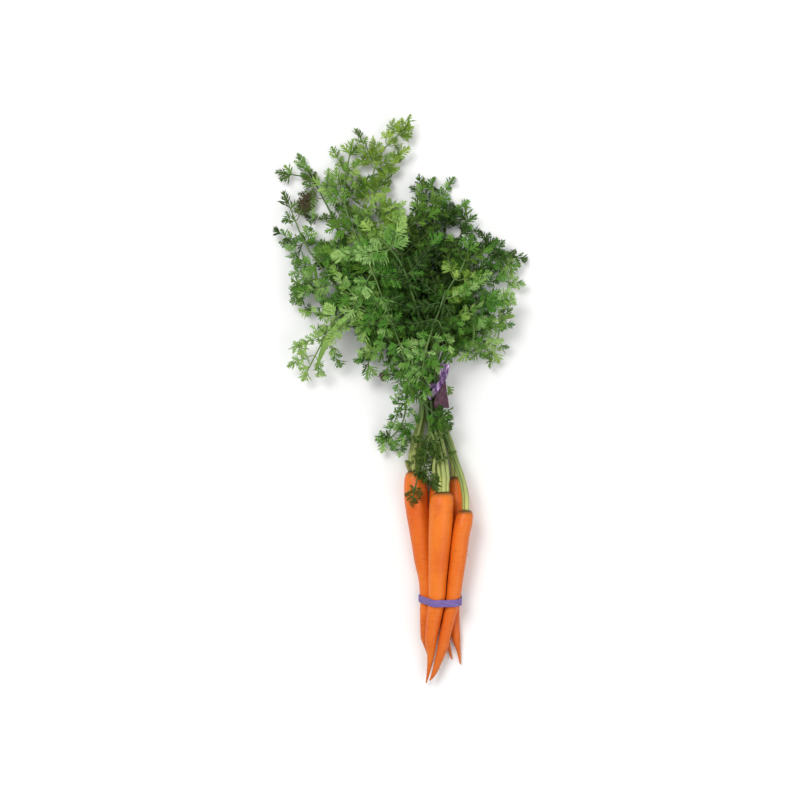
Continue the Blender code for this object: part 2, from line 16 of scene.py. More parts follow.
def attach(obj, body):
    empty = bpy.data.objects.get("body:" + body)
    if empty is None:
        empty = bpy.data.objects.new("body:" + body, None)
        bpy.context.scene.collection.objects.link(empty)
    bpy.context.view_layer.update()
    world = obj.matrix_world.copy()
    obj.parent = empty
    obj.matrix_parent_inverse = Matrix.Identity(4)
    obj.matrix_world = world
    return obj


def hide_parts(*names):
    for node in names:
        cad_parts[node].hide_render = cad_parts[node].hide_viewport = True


MM = 0.001
SEED = 11
GAP = 0.3
UP = Vector((0, 0, 1))

# Roots: each ring is x, y, radius and the height of its underside.
ROOT_SIDES = 12
ROOT_FLAT = math.cos(math.pi / ROOT_SIDES)
ROOTS = {
    "root_left": [
        (12.5, -64.8, 5, 5.6), (12.9, -67, 7.6, 3), (13.6, -72, 9.6, 1.1), (14.4, -80, 10.8, 0),
        (14.7, -92, 10.8, 0), (16, -104, 10.3, 0.1), (17.6, -115, 9.9, 0.25), (19.4, -129, 9.2, 0.5),
        (21.7, -149, 8.2, 1), (24, -163, 6.9, 1.5), (24.4, -181.8, 5.9, 1.8), (23.2, -200, 5.1, 1.8),
        (22.6, -217.8, 3.8, 1.8), (26, -229, 2.3, 1.9), (27.9, -242, 0.6, 2.2),
    ],
    "root_middle_back": [
        (34.7, -76.5, 4.6, 4.2), (34.7, -79, 6.6, 2.2), (34.8, -84, 8, 0.7), (34.9, -92, 8.6, 0),
        (35.2, -104, 8.4, 0), (35.8, -115, 7.9, 0.2), (36.2, -129, 7.2, 0.5), (36.7, -149, 6.4, 1),
        (36.9, -163, 5.8, 1.5), (36.3, -181.8, 5.4, 1.8), (38.6, -200, 4.3, 1.8), (42, -217, 2.8, 1.8),
        (44.5, -226, 1.8, 1.9), (47.5, -236.7, 0.6, 2.2),
    ],
    "root_right_back": [
        (50.6, -70.2, 4.4, 4.4), (50.8, -74, 6, 2.7), (51.6, -82, 7.3, 1.3), (52.6, -90, 8.6, 0.1),
        (53.1, -97, 9, 0), (53.1, -110, 8.9, 0), (52.5, -122, 8.4, 0.25), (51.6, -136, 7.8, 0.5),
        (50.8, -149, 7.2, 1), (49.9, -162, 6.7, 1.5), (48.2, -181.8, 6, 1.8), (49, -200, 5.2, 1.8),
        (51.2, -217.8, 3.9, 1.8), (53.6, -229.5, 1.7, 1.8), (55.2, -241.2, 0.6, 2.2),
    ],
    "root_front": [
        (38.3, -82.8, 5.5, 23.7), (38.2, -84.6, 8.4, 20.9), (37.7, -88, 10.3, 19.1), (37.2, -94, 11, 18.4),
        (36.8, -110, 10.8, 18.4), (36, -122, 10.4, 17.7), (35.2, -136, 9.7, 16.7), (34.6, -149, 9, 15.8),
        (34, -160, 8.4, 15), (33.3, -181.8, 7.6, 13), (30.5, -200, 6.8, 10.8), (27.9, -217.8, 5.6, 8.6),
        (28.3, -228.6, 3.8, 7.9), (27.3, -239, 2.5, 7.6), (26.1, -246.6, 1.7, 7.4), (23.9, -258, 0.6, 7),
    ],
    "root_right_front": [
        (59.2, -99.6, 4.6, 22.1), (59, -101.2, 6.4, 20.2), (58.2, -105, 7.8, 18.8), (56.9, -113, 8.3, 18.5),
        (55, -122, 8, 17.9), (53.2, -136, 7.8, 17.1), (51.8, -149, 7.4, 16.3), (50.2, -162, 7, 15.4),
        (47.9, -181.8, 6.5, 14.1), (43.9, -200, 5.4, 12.1), (40.5, -217, 5.3, 9), (38.9, -226, 4.9, 8.6),
        (34.2, -239.4, 3.4, 9), (30.6, -250, 2.3, 9.6), (27.2, -255, 0.7, 10.8),
    ],
}

# Rubber band round the roots
BAND_Y = -181.3
BAND_MIDDLE_Z = 14.0
BAND_WIDTH = 6.35
BAND_TILT = 0.12

# Neck, where the leaf stalks are tied
NECK = Vector((27.9, 12.6, 16.0))
UNTIED = Vector((-12, 0, 8))
NECK_HALF = 4.0
NECK_LEAD = 9.0
PITCH = 3.3
CROWN_PITCH = 3.6
STALK_SIDES = 6
STALK_BASE, STALK_NECK, STALK_BLADE, STALK_TIP = 1.75, 1.5, 1.05, 0.55
CROWN_LEAD = 7.0
BASE_LENGTH = 12.0
STEP = 3.5
SETTLE_TURNS = 70
SETTLE_CLEAR = 0.9
SETTLE_SHARE, SETTLE_MOST = 0.4, 1.0

# Twist tie
TIE_WIDTH = 4.6
TIE_INSIDE = 8.5

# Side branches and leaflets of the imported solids
LEAFLET_BASE = 9.6
LIFTS = (0.0, 0.16, -0.16, 0.32, -0.32, 0.5, -0.5)
SCALES = (1.0, 0.8, 0.62, 0.45)
TABLE_CLEAR = 0.9
TAPER, TAPER_POWER = 0.64, 1.5
FIRST_SHORTER = 0.86
LEAN_FIRST, LEAN_LAST, LEAN_VARY = 66, 42, 5
SWEEP, DROOP = (0.02, 0.2), (0.04, 0.24)
CROWDING, TIP_BARE = 0.92, 3.0
REACH_OF_GAP, REACH_OF_LENGTH = 0.56, 0.45
REACH_FIRST, REACH_FALL, REACH_END, REACH_EASE = 1.05, 0.6, 0.7, 0.25
LEAFLET_OUT, LEAFLET_ON, LEAFLET_VARY = 0.87, 0.6, 0.1
LIFT_BEND, RISE_VARY, END_SITE = 0.5, 0.2, 0.35
LENGTH_VARY, BLADE_LEAST = (0.88, 1.08), 12.0

# Slots of the neck: row from the bottom, place across
SLOTS = {f"{letter}{i + 1}": (i - (count - 1) / 2, row - 2)
         for row, (letter, count) in enumerate(zip("ABCDE", (3, 4, 5, 4, 3))) for i in range(count)}

# Fronds: root, slot, points beyond the neck, length before the leafy part, longest side branch, pairs, tint
FRONDS = {
    "frond_fold_centre": ("root_front", "D2", [(23, 45, 38), (12, 90, 58), (-6, 130, 67), (-20, 142, 67),
        (-27, 128, 65), (-19, 100, 62), (-7, 68, 58), (3, 40, 53), (9, 14, 46)], 104, 36, 8, "bright"),
    "frond_fold_neck": ("root_front", "E3", [(31, 35, 33), (35, 65, 50), (39, 88, 60), (40, 96, 63),
        (37, 86, 64), (29, 64, 61), (22, 40, 56), (19, 18, 50)], 80, 27, 6, "light"),
    "frond_drape": ("root_front", "E1", [(22, 29, 26), (15, 32, 33), (8, 20, 36), (6, 0, 32), (3, -18, 25),
        (-5, -31, 18), (-17, -40, 9)], 10, 18, 6, "bright"),
    "frond_collar": ("root_front", "E2", [(26, 29, 27), (20, 28, 35), (14, 18, 39), (16, 4, 39), (25, -7, 37),
        (38, -18, 32)], 26, 20, 4, "bright"),
    "frond_fern": ("root_front", None, [(31, -62, 36), (32, -42, 40), (27, -29, 40), (22, -38, 36),
        (18, -60, 31), (11, -91, 25)], 30, 19, 6, "dark"),
    "frond_yellow": ("root_right_front", "C4", [(34, 45, 26), (36, 70, 40), (42, 96, 50), (56, 120, 50),
        (62, 138, 46)], 34, 32, 5, "yellow"),
    "frond_low_left": ("root_left", "D1", [(8, 34, 29), (-15, 60, 45), (-36, 84, 52), (-56, 74, 46),
        (-72, 48, 32), (-84, 26, 20)], 44, 34, 6, "bright"),
    "frond_inner_left": ("root_left", "C2", [(10, 36, 24), (-8, 58, 36), (-20, 64, 40), (-26, 47, 36),
        (-29, 28, 28)], 24, 18, 4, "dark"),
    "frond_inner_right": ("root_right_front", "D4", [(39, 40, 26), (48, 70, 38), (59, 80, 44), (66, 64, 40),
        (61, 38, 30)], 26, 28, 4, "dark"),
    "frond_crown_mid": ("root_front", "D3", [(30, 50, 34), (16, 90, 42), (2, 126, 46), (6, 162, 42),
        (30, 180, 38)], 42, 40, 6, "yellow"),
    "frond_mid_left": ("root_left", "C1", [(5, 38, 20), (-24, 70, 30), (-53, 98, 33), (-78, 109, 28),
        (-93, 102, 20)], 34, 36, 6, "light"),
    "frond_mid_right": ("root_right_back", "C5", [(46, 42, 20), (62, 74, 28), (78, 97, 33), (89, 82, 28),
        (89, 58, 20), (84, 40, 14)], 30, 36, 6, "bright"),
    "frond_left": ("root_left", "B1", [(5, 40, 14), (-30, 76, 19), (-63, 110, 21), (-86, 142, 20),
        (-97, 168, 18), (-101, 178, 16)], 42, 36, 7, "dark"),
    "frond_right": ("root_right_back", "B4", [(42, 50, 13), (52, 95, 17), (66, 127, 19), (84, 139, 19),
        (100, 120, 15)], 34, 36, 6, "bright"),
    "frond_core": ("root_front", "C3", [(28, 50, 22), (26, 95, 27), (28, 140, 26), (34, 168, 22)
        ], 22, 44, 5, "dark"),
    "frond_crest_left": ("root_middle_back", "B2", [(18, 50, 12), (-12, 95, 17), (-36, 140, 19),
        (-51, 185, 16), (-45, 227, 12)], 56, 38, 6, "light"),
    "frond_crest": ("root_middle_back", "A2", [(22, 48, 9), (3, 95, 9), (-12, 140, 10), (-22, 178, 11),
        (-24, 206, 12), (-15, 227, 13), (2, 244, 15)], 66, 40, 7, "light"),
    "frond_top_left": ("root_middle_back", "A1", [(8, 50, 7), (-24, 95, 6), (-53, 146, 6), (-68, 180, 7),
        (-82, 201, 8), (-103, 206, 10)], 56, 30, 7, "dull"),
    "frond_top_right": ("root_right_back", "B3", [(33, 58, 11), (34, 110, 10), (34, 145, 9), (33, 170, 8),
        (29, 194, 9)], 44, 38, 6, "dark"),
    "frond_back_right": ("root_middle_back", "A3", [(37, 50, 8), (46, 90, 6), (55, 120, 6), (60, 146, 7),
        (60, 167, 9)], 36, 36, 5, "dark"),
}

# Side branches and leaflets of the dressed fronds
SAME_PLACE = 0.25
RIB_THICK, RIB_THIN = 0.5, 0.22
RIB_STEP, RIB_SIDES = 2.5, 6
LEAF_HALF = 0.17
LEAFLET_PAIRS = (3, 3, 4, 4, 4, 5)
LEAFLET_GROW, LEAFLET_LEAST, LAST_LEAFLET, TIP_LEAFLET = 1.6, 8.5, 0.85, 14
LEAFLETS_AT, AT_VARY, FIRST_LOST = (0.12, 0.62), 0.08, 0.3
TURN_FIRST, TURN_LESS, TURN_VARY = 60, 22, 12
LONG_VARY, LONG_FIRST, LONG_LESS = (0.75, 1.2), 1.05, 0.25
TIP_LEAFLETS = ((-0.75, 5), (0, 1), (0.7, 4))
SPRIG_AT, SPRIG_TURN, SPRIG_VARY = (0.12, 0.38, 0.62), 50, 10
SPRIG_FIRST, SPRIG_LESS = 0.62, 0.3
ROLL_VARY, PITCH_VARY = 0.5, 0.3
FOLD, SAG, TWIST, PHASE = (0.1, 0.6), (0.0, 0.45), (-0.6, 0.6), (0, 6.28)
SMALL_LEAVES = {"frond_fern": 0.6, "frond_drape": 0.85, "frond_top_left": 0.9}
# Outline of a lobe, as shares of its length and width from its foot round its tip, and of the leaflet's end
LOBE = ((0.3, 1.0), (0.6, 1.55), (0.64, 0.8), (1.0, 0.1), (0.68, -0.8), (0.74, -1.35), (0.5, -0.95))
LEAFLET_END = ((0.3, 0.07), (0.55, 0.13), (0.56, 0.05))
FLOOR_NEAR, FLOOR_LEAST = 1.4, 0.4

# Stalks: fine steps and ridges, how far the pale part reaches, and how the base is thickened
STALK_STEP, FINE_SIDES, RIDGE, RIDGES = 2.0, 14, 0.13, 7
PALE_LENGTH = 70
THICKEN, THICK_REACH = 0.3, 22

# Column of a leaflet's row that holds its lightness
LIGHT_AT = 17
# Tones: how much they vary, and the shade of leaflets that lie under others
LIGHT_VARY, YELLOW_VARY, MOOD = 0.32, (-0.12, 0.15), (-0.3, 0.28)
LIGHTER_OUT, YELLOWER_OUT = 0.08, 0.15
# Painted light and shade by height: leaflets above the middle height are made lighter, those below it darker
MIDDLE_HEIGHT, PAINTED_LIGHT_BY_HEIGHT = 25, 0.002
CELL, UNDER_FROM, UNDER_DEPTH = 4.0, 3, 8.0

# Roots: rings at the crown, over the rest and in the tail, points round them, and what lies on them
CROWN_RINGS, BODY_RINGS, TAIL_RINGS, FINE_ROUND = 14, 200, 6, 48
EVEN_OVER = 4.0
CUP = ((0.35, 1.2), (0.65, 1.0), (0.88, 0.3))
DENTS, SWELLS, HAIRS = 90, 14, 22
DENT_LONG, DENT_WIDE, DENT_DEEP, DENT_MARK = (0.3, 0.7), (0.1, 0.6), (0.03, 0.13), (0.15, 0.7)
SWELL_DEEP, SWELL_LONG = 0.03, (6, 18)
HAIR_LONG, HAIR_THICK = (1.5, 6.0), (0.2, 0.05)

# Each frond: lightness and yellowness of its leaflets, from 0 to 1
FROND_LOOKS = {
    "frond_fold_centre": (0.52, 0.0), "frond_fold_neck": (0.55, 0.02), "frond_drape": (0.5, 0.0),
    "frond_collar": (0.52, 0.1), "frond_fern": (-0.35, 0.6), "frond_yellow": (0.72, 0.5),
    "frond_low_left": (0.58, 0.2), "frond_inner_left": (0.36, 0.05), "frond_inner_right": (0.25, 0.05),
    "frond_crown_mid": (0.5, 0.4), "frond_mid_left": (0.46, 0.05), "frond_mid_right": (0.42, 0.1),
    # frond_core's lightness, near nothing, is painted shade of the dense middle of the foliage
    "frond_left": (0.25, 0.05), "frond_right": (0.45, 0.1), "frond_core": (0.06, 0.0),
    "frond_crest_left": (0.5, 0.3), "frond_crest": (0.66, 0.5), "frond_top_left": (0.26, 0.25),
    "frond_top_right": (0.2, 0.1), "frond_back_right": (0.2, 0.15),
}

# Places with few leaves over them, so that what lies below shows: x, y, reach
CLEAR = [
    (40, 8, 8), (38, 20, 7), (32, 12, 6), (34, 0, 5), (22, -4, 3), (9, 234, 5), (-71, 152, 5), (56, 153, 4),
    (-21, 31, 4), (-79, 14, 7), (-68, 14, 6), (44, -2, 5), (42, -66, 9), (46, -82, 8), (10, -18, 4),
    (-13, 256, 8), (68, 26, 10), (84, 22, 8), (-114, 168, 6), (-112, 147, 5), (-106, 124, 5), (-94, 197, 5),
    (-74, 161, 4), (-64, 148, 4), (14, 232, 6), (4, 186, 6), (48, 154, 5), (80, 160, 7), (113, 92, 7),
    (106, 58, 8), (100, 34, 8), (3, -64, 7), (1, -75, 8), (-1, -86, 6), (24, -90, 4), (-82, 89, 6),
    (-47, 57, 7), (-44, 42, 6), (-14, -6, 6), (-10, 12, 4), (-16, 38, 5), (-20, -42, 5), (-1, -76, 4),
]

# Loose leaflets of a frond: place, way they point in degrees, length, lightness, yellowness, dryness
STRAYS = {
    "frond_fold_neck": [((42, 13, 40), -62, 10, 0.45, 0.5, 0.15), ((44, 9, 39), -95, 6, 0.4, 0.4, 0.3)],
    "frond_inner_left": [((-14, 27, 26), -100, 11, 0.3, 0.4, 0.9), ((-12, 26, 27), -80, 8, 0.3, 0.4, 0.7)],
}
# Small side branches of a frond: place, way they point in degrees and length
SPRIGS = {
    "frond_crest": [((1, 238, 15), 68, 20), ((-20, 222, 14), 100, 16), ((-8, 240, 14), 82, 14)],
    "frond_crest_left": [((-56, 186, 14), 95, 22)],
    "frond_top_left": [((-78, 192, 8), 110, 20), ((-78, 188, 9), 235, 20), ((-80, 180, 9), 215, 16)],
    "frond_left": [((-92, 140, 14), 170, 16), ((-86, 126, 16), 168, 16)],
    "frond_right": [((82, 132, 16), 45, 16), ((96, 108, 13), -10, 16)],
    "frond_mid_right": [((88, 76, 16), 20, 15)],
    "frond_top_right": [((38, 168, 9), 40, 16), ((20, 190, 9), 100, 14)],
    "frond_mid_left": [((-86, 92, 18), 190, 14)],
    "frond_low_left": [((-66, 60, 40), 160, 14), ((-82, 46, 25), 172, 17)],
    "frond_drape": [((5, -18, 24), -95, 20), ((2, -34, 20), -100, 16)],
    "frond_fern": [
        ((26, -33, 41), -100, 18), ((29, -38, 41), -72, 15), ((22, -60, 34), -62, 22),
        ((26, -42, 38), -118, 16), ((22, -52, 36), -100, 16),
    ],
}
# Darker smears on the roots, and on the left root a long band of painted shade along its right side, next to
# the middle roots: distance from the crown, turn round the root, length and spread
SMEARS_AND_SIDE_SHADE = {
    "root_front": (13, 1.9, 8, 0.3), "root_left": (20, 0.9, 30, 0.35), "root_right_front": (9, 2.3, 5, 0.3),
}
# A cut stalk: x, y and z along it, and its radius
CUT_STALK, CUT_RADIUS = [(8.5, -64, 13), (6.5, -59, 15), (5.5, -55, 17)], 1.5
# A broad pale leaf stalk: x, y, z and width along it
SHEATH_OWNER = "frond_low_left"
SHEATH = [(-38, 80, 55, 1.5), (-54, 68, 52, 4.5), (-65, 53, 43, 6), (-72, 38, 31, 4.5), (-76, 27, 24, 1.5)]

# Patches of the foliage: x, y, reach, how much lighter and how much yellower. The strongly darkened ones
# round (22, 124), (14, 86) and (38, 76) are painted shade of the dense middle of the foliage.
PATCHES_AND_PAINTED_SHADE = [
    (22, 124, 28, -0.8, -0.1), (14, 86, 27, -0.8, -0.1), (38, 76, 18, -0.45, 0.0), (-28, 110, 40, 0.1, -0.05),
    (-15, 232, 40, -0.02, 0.25), (-2, 160, 19, 0.08, 0.35), (24, 172, 18, -0.12, -0.25),
    (-70, 46, 24, 0.45, 0.05), (20, 50, 14, 0.4, -0.15), (85, 50, 26, 0.5, 0.1), (-94, 150, 34, 0.15, 0.1),
    (100, 100, 30, 0.35, 0.1), (56, 112, 12, 0.3, 0.25), (46, 92, 9, 0.5, 0.3), (70, 137, 15, -0.5, -0.35),
    (58, 140, 10, -0.3, -0.2), (-30, 150, 30, 0.12, -0.05), (33, -15, 14, -0.35, -0.1),
    (74, 108, 14, -0.25, -0.5), (69, 86, 13, -0.2, -0.5), (60, 96, 6, -0.1, -0.3), (14, 14, 15, -0.25, 0.0),
]
# Dry places: x, y, reach and how dry
WITHERED = [(-86, 178, 13, 1.0), (-102, 200, 6, 0.4), (-96, 92, 8, 0.5), (-15, 12, 5, 0.9),
            (100, 128, 6, 0.5)]

# Strips of the tie: spine of x, y, z and width, material, depth of the crinkles
TIE_STRIPS = [
    ([(37.6, 15.5, 28.2, 4), (38.6, 21, 29.6, 7), (39.6, 26.5, 30.2, 8.4), (40.4, 32.5, 30, 8.8)], 0, 0.35),
    ([(42, 24.5, 31, 3.4), (37.4, 17, 30.8, 5), (32.5, 9.5, 30.4, 5.4), (25.5, 1.5, 29.4, 5)], 0, 0.3),
    # Material 1 is the flag, painted dark maroon as painted shade
    ([(38.4, 19, 29.6, 4.6), (38.4, 11, 29.4, 7), (37.6, 3, 29, 11.4), (37, -6.8, 28.4, 14.6)], 1, 0.22),
]
STRIP_THICK, STRIP_STEP, STRIP_COLUMNS = 0.3, 0.6, 15
BAND_STEPS, TIE_STEPS = 180, 96
PLAIN = (0.5, 0.5, 0.5, 0.5)


def distances(points):
    """How far each point of a line is from its first one, along the line."""
    return np.concatenate([[0], np.cumsum(np.linalg.norm(np.diff(points, axis=0), axis=1))])


def smooth_line(points, step):
    """Points about one step apart on a smooth curve through the given ones."""
    points = np.array(points, float)
    chords = np.linalg.norm(np.diff(points, axis=0), axis=1)
    knots = np.concatenate([[0], np.cumsum(chords)])
    slopes = np.gradient(points, knots, axis=0)
    line = [points[0]]
    for i, chord in enumerate(chords):
        count = max(1, round(chord / step))
        for j in range(1, count + 1):
            t = j / count
            line.append(
                (2 * t**3 - 3 * t**2 + 1) * points[i]
                + (t**3 - 2 * t**2 + t) * chord * slopes[i]
                + (3 * t**2 - 2 * t**3) * points[i + 1]
                + (t**3 - t**2) * chord * slopes[i + 1]
            )
    return np.array(line)


def slot_place(name):
    across, row = SLOTS[name]
    return NECK + Vector((across * PITCH, 0, row * PITCH * math.sqrt(3) / 2))


def crown_places():
    """Where each stalk stands on the crown of its root, in the same order round as in the neck."""
    places = {}
    for root, rings in ROOTS.items():
        x, y, radius, low = rings[0]
        middle = Vector((x, y + GAP, low + radius * ROOT_FLAT))
        own = [name for name, frond in FRONDS.items() if frond[0] == root]
        ends = {name: slot_place(FRONDS[name][1]) if FRONDS[name][1] else NECK + UNTIED for name in own}
        centre = sum(ends.values(), Vector()) / len(own)
        turns = {name: math.atan2(ends[name].z - centre.z, ends[name].x - centre.x) for name in own}
        own.sort(key=turns.get)
        reach = CROWN_PITCH / (2 * math.sin(math.pi / len(own)))
        start = sum(turns[name] - 2 * math.pi * i / len(own) for i, name in enumerate(own)) / len(own)
        for i, name in enumerate(own):
            turn = start + 2 * math.pi * i / len(own)
            places[name] = middle + reach * Vector((math.cos(turn), 0, math.sin(turn)))
    return places


def stalk_lines():
    """The centre line of each frond, which of its points stay put, and how far along it the neck ends."""
    places = crown_places()
    lines, held, slot_at = {}, {}, {}
    for name, (_, slot, beyond, _, _, _, _) in FRONDS.items():
        base = places[name]
        points = [base, base + Vector((0, CROWN_LEAD, 0))]
        if slot:
            place = slot_place(slot)
            points += [place + Vector((0, y, 0)) for y in (-NECK_LEAD, -NECK_HALF, NECK_HALF, NECK_LEAD)]
        line = smooth_line([*map(tuple, points), *beyond], STEP)
        still = np.zeros(len(line), bool)
        still[:3] = True
        slot_at[name] = 0.0
        if slot:
            neck = np.abs(line[:, 1] - NECK.y) <= NECK_HALF + GAP
            first = int(np.argmax(neck))
            last = first + int(np.argmin(neck[first:]))
            still[first:last] = True
            steps = np.linalg.norm(np.diff(line, axis=0), axis=1)
            slot_at[name] = float(steps[:last].sum())
        lines[name], held[name] = line, still
    return lines, held, slot_at


def radii_along(name, line, slot_at):
    """Distances along a line and the stalk radius at each of them."""
    along = distances(line)
    blade = min(slot_at + FRONDS[name][3], along[-1] - BLADE_LEAST)
    neck = slot_at if slot_at else blade / 2
    radius = np.interp(along, [0, BASE_LENGTH, neck, blade, along[-1]],
                       [STALK_BASE, STALK_BASE, STALK_NECK, STALK_BLADE, STALK_TIP])
    return along, radius, blade


def settle(lines, held, slot_at):
    """Pushes the stalks apart where they come too near each other, and keeps them above the table."""
    names = list(lines)
    rest = np.concatenate([lines[name] for name in names])
    owner = np.concatenate([np.full(len(lines[name]), i) for i, name in enumerate(names)])
    radius = np.concatenate([radii_along(name, lines[name], slot_at[name])[1] for name in names])
    free = ~np.concatenate([held[name] for name in names])
    apart = owner[:, None] != owner[None, :]
    need = radius[:, None] + radius[None, :] + SETTLE_CLEAR
    ends = np.concatenate([[True], owner[1:] != owner[:-1], [True]])
    inner = ~(ends[:-1] | ends[1:])
    shift = np.zeros_like(rest)
    for _ in range(SETTLE_TURNS):
        now = rest + shift
        squared = (now**2).sum(axis=1)
        distance = np.sqrt(np.maximum(squared[:, None] + squared[None, :] - 2 * now @ now.T, 1e-9))
        first, second = np.nonzero(apart & (distance < need))
        away = now[first] - now[second]
        length = np.maximum(distance[first, second], 0.05)[:, None]
        push = np.zeros_like(rest)
        np.add.at(push, first, SETTLE_SHARE * away / length * (need[first, second][:, None] - length))
        push = np.clip(push, -SETTLE_MOST, SETTLE_MOST)
        beside = (np.roll(shift, 1, axis=0) + np.roll(shift, -1, axis=0)) / 2
        even = shift.copy()
        even[inner] = (shift[inner] + beside[inner]) / 2
        shift = (even + push) * free[:, None]
        low = radius + TABLE_CLEAR - (rest + shift)[:, 2]
        shift[:, 2] += np.maximum(low, 0) * free
    now = rest + shift
    return {name: now[owner == i] for i, name in enumerate(names)}


class Stem:
    """A centre line with a frame that keeps the leaves facing up."""

    def __init__(self, line, along, radius):
        self.line, self.along, self.radius = line, along, radius
        tangents = np.gradient(line, along, axis=0)
        self.tangents = tangents / np.linalg.norm(tangents, axis=1)[:, None]
        up = np.array([0.0, 0.0, 1.0])
        normals = up - self.tangents * (self.tangents @ up)[:, None]
        self.normals = normals / np.linalg.norm(normals, axis=1)[:, None]

    def at(self, distance):
        """Place, tangent, side, normal and radius at a distance along."""
        rows = (*self.line.T, *self.tangents.T, *self.normals.T, self.radius)
        pick = [float(np.interp(distance, self.along, row)) for row in rows]
        tangent = Vector(pick[3:6]).normalized()
        side = Vector(pick[6:9]).cross(tangent).normalized()
        return Vector(pick[:3]), tangent, side, tangent.cross(side), pick[9]


class Pinna:
    """One side branch of a frond: where its rib runs and how far its leaflets reach."""

    def __init__(self, stem, distance, hand, length, lean, reach, count, noise):
        place, tangent, side, normal, radius = stem.at(distance)
        self.place, self.tangent, self.side, self.normal = place, tangent, side * hand, normal
        self.radius, self.hand, self.length, self.lean = radius, hand, length, lean
        self.reach, self.count, self.noise = reach, count, noise
        self.rise = RISE_VARY * (2 * noise[2] - 1)

    def rib(self, lift, scale):
        """Places, directions and side directions along the rib."""
        start = self.place + self.side * self.radius * math.cos(math.pi / STALK_SIDES)
        ahead = self.tangent * math.cos(self.lean) + self.side * math.sin(self.lean)
        ahead = ahead * math.cos(lift) + self.normal * math.sin(lift)
        length = self.length * scale
        points = []
        for i in range(self.count + 1):
            run = length * i / self.count
            bend = run * run / max(self.length, 1)
            points.append(start + ahead * run + self.tangent * bend * self.noise[0]
                          - self.normal * bend * (LIFT_BEND * lift + self.noise[1]))
        frames = []
        for i in range(1, len(points)):
            direction = (points[i] - points[i - 1]).normalized()
            across = self.normal.cross(direction).normalized()
            frames.append((points[i - 1], points[i], direction, across, direction.cross(across)))
        return frames

    def found(self, solid):
        """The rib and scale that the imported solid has, or nothing where the solid has no branch here."""
        for scale, turn in ((scale, turn) for scale in SCALES for turn in LIFTS):
            frames = self.rib(self.rise + turn, scale)
            _, far, direction, _, _ = frames[-1]
            ends = [far + direction * self.reach * REACH_END]
            for i, (near, far, direction, across, _) in enumerate(frames):
                vary = LEAFLET_VARY * (2 * self.noise[3 + (2 * i + 1) % 6] - 1)
                size = self.leaflet_reach(i, scale) * (1 + vary)
                ends.append((near + far) / 2 + (across * LEAFLET_OUT + direction * LEAFLET_ON) * size)
            if all(solid.find_nearest(end * MM)[3] < SAME_PLACE * MM for end in ends):
                return frames, scale
        return None, 0

    def leaflet_reach(self, i, scale):
        return self.reach * (REACH_FIRST - REACH_FALL * (i + 1) / self.count) * (1 - REACH_EASE * (1 - scale))


def pinnae_of(name, stem, blade):
    """The side branches of a frond, each with its share of the way along the leafy part."""
    rng = random.Random(f"{SEED}{name}")
    _, _, _, _, width, pairs, _ = FRONDS[name]
    total = stem.along[-1]
    made = []
    for i in range(pairs):
        distance = blade + (total - blade - TIP_BARE) * (i / (pairs - END_SITE)) ** CROWDING
        share, gap = i / pairs, (total - blade) / pairs
        for hand in (1, -1):
            length = width * (1 - TAPER * share**TAPER_POWER) * rng.uniform(*LENGTH_VARY)
            length *= FIRST_SHORTER if share == 0 else 1
            lean = LEAN_FIRST + (LEAN_LAST - LEAN_FIRST) * share + rng.uniform(-LEAN_VARY, LEAN_VARY)
            lean = math.radians(lean)
            noise = [rng.uniform(*SWEEP), rng.uniform(*DROOP), *(rng.random() for _ in range(7))]
            count = max(2, min(4, round(length / LEAFLET_BASE)))
            reach = min(REACH_OF_GAP * gap * math.sin(lean), REACH_OF_LENGTH * length)
            made.append((Pinna(stem, distance, hand, length, lean, reach, count, noise), share))
    return made


class Shape:
    """Points, triangles and tones that build up to one mesh."""

    def __init__(self):
        self.points, self.faces, self.tones, self.rims, self.kinds = [], [], [], [], []
        self.count = 0

    def add(self, points, faces, tones, rim, kind):
        """Tones are red, green, blue and alpha for each point; rim is true where an edge stays sharp."""
        points, faces = np.asarray(points, float), np.asarray(faces, int)
        self.points.append(points)
        self.faces.append(faces + self.count)
        self.tones.append(np.broadcast_to(tones, (len(points), 4)))
        self.rims.append(np.broadcast_to(rim, len(points)))
        self.kinds.append(np.full(len(faces), kind))
        self.count += len(points)


def placed(name, data, location=(0, 0, 0)):
    """An object of the scene with the given mesh, lamp or lens."""
    made = bpy.data.objects.new(name, data)
    made.location = location
    bpy.context.scene.collection.objects.link(made)
    return made


def make_piece(name, shape, materials, slot_name, *nodes):
    """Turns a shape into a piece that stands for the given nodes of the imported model."""
    points = np.concatenate(shape.points) * MM
    faces = np.concatenate(shape.faces)
    mesh = bpy.data.meshes.new(name)
    mesh.from_pydata(points.tolist(), [], faces.tolist())
    mesh.polygons.foreach_set("material_index", np.concatenate(shape.kinds).astype(np.int32))
    mesh.shade_smooth()
    tone = mesh.attributes.new("tone", "FLOAT_COLOR", "POINT")
    tone.data.foreach_set("color", np.concatenate(shape.tones).astype(np.float32).ravel())
    ends = np.empty(len(mesh.edges) * 2, np.int32)
    mesh.edges.foreach_get("vertices", ends)
    rims = np.concatenate(shape.rims)[ends.reshape(-1, 2)].all(axis=1)
    mesh.attributes.new("sharp_edge", "BOOLEAN", "EDGE").data.foreach_set("value", rims)
    for material in materials:
        mesh.materials.append(material)
    piece = placed(name, mesh)
    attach(piece, "root")
    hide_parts(*nodes)
    return piece


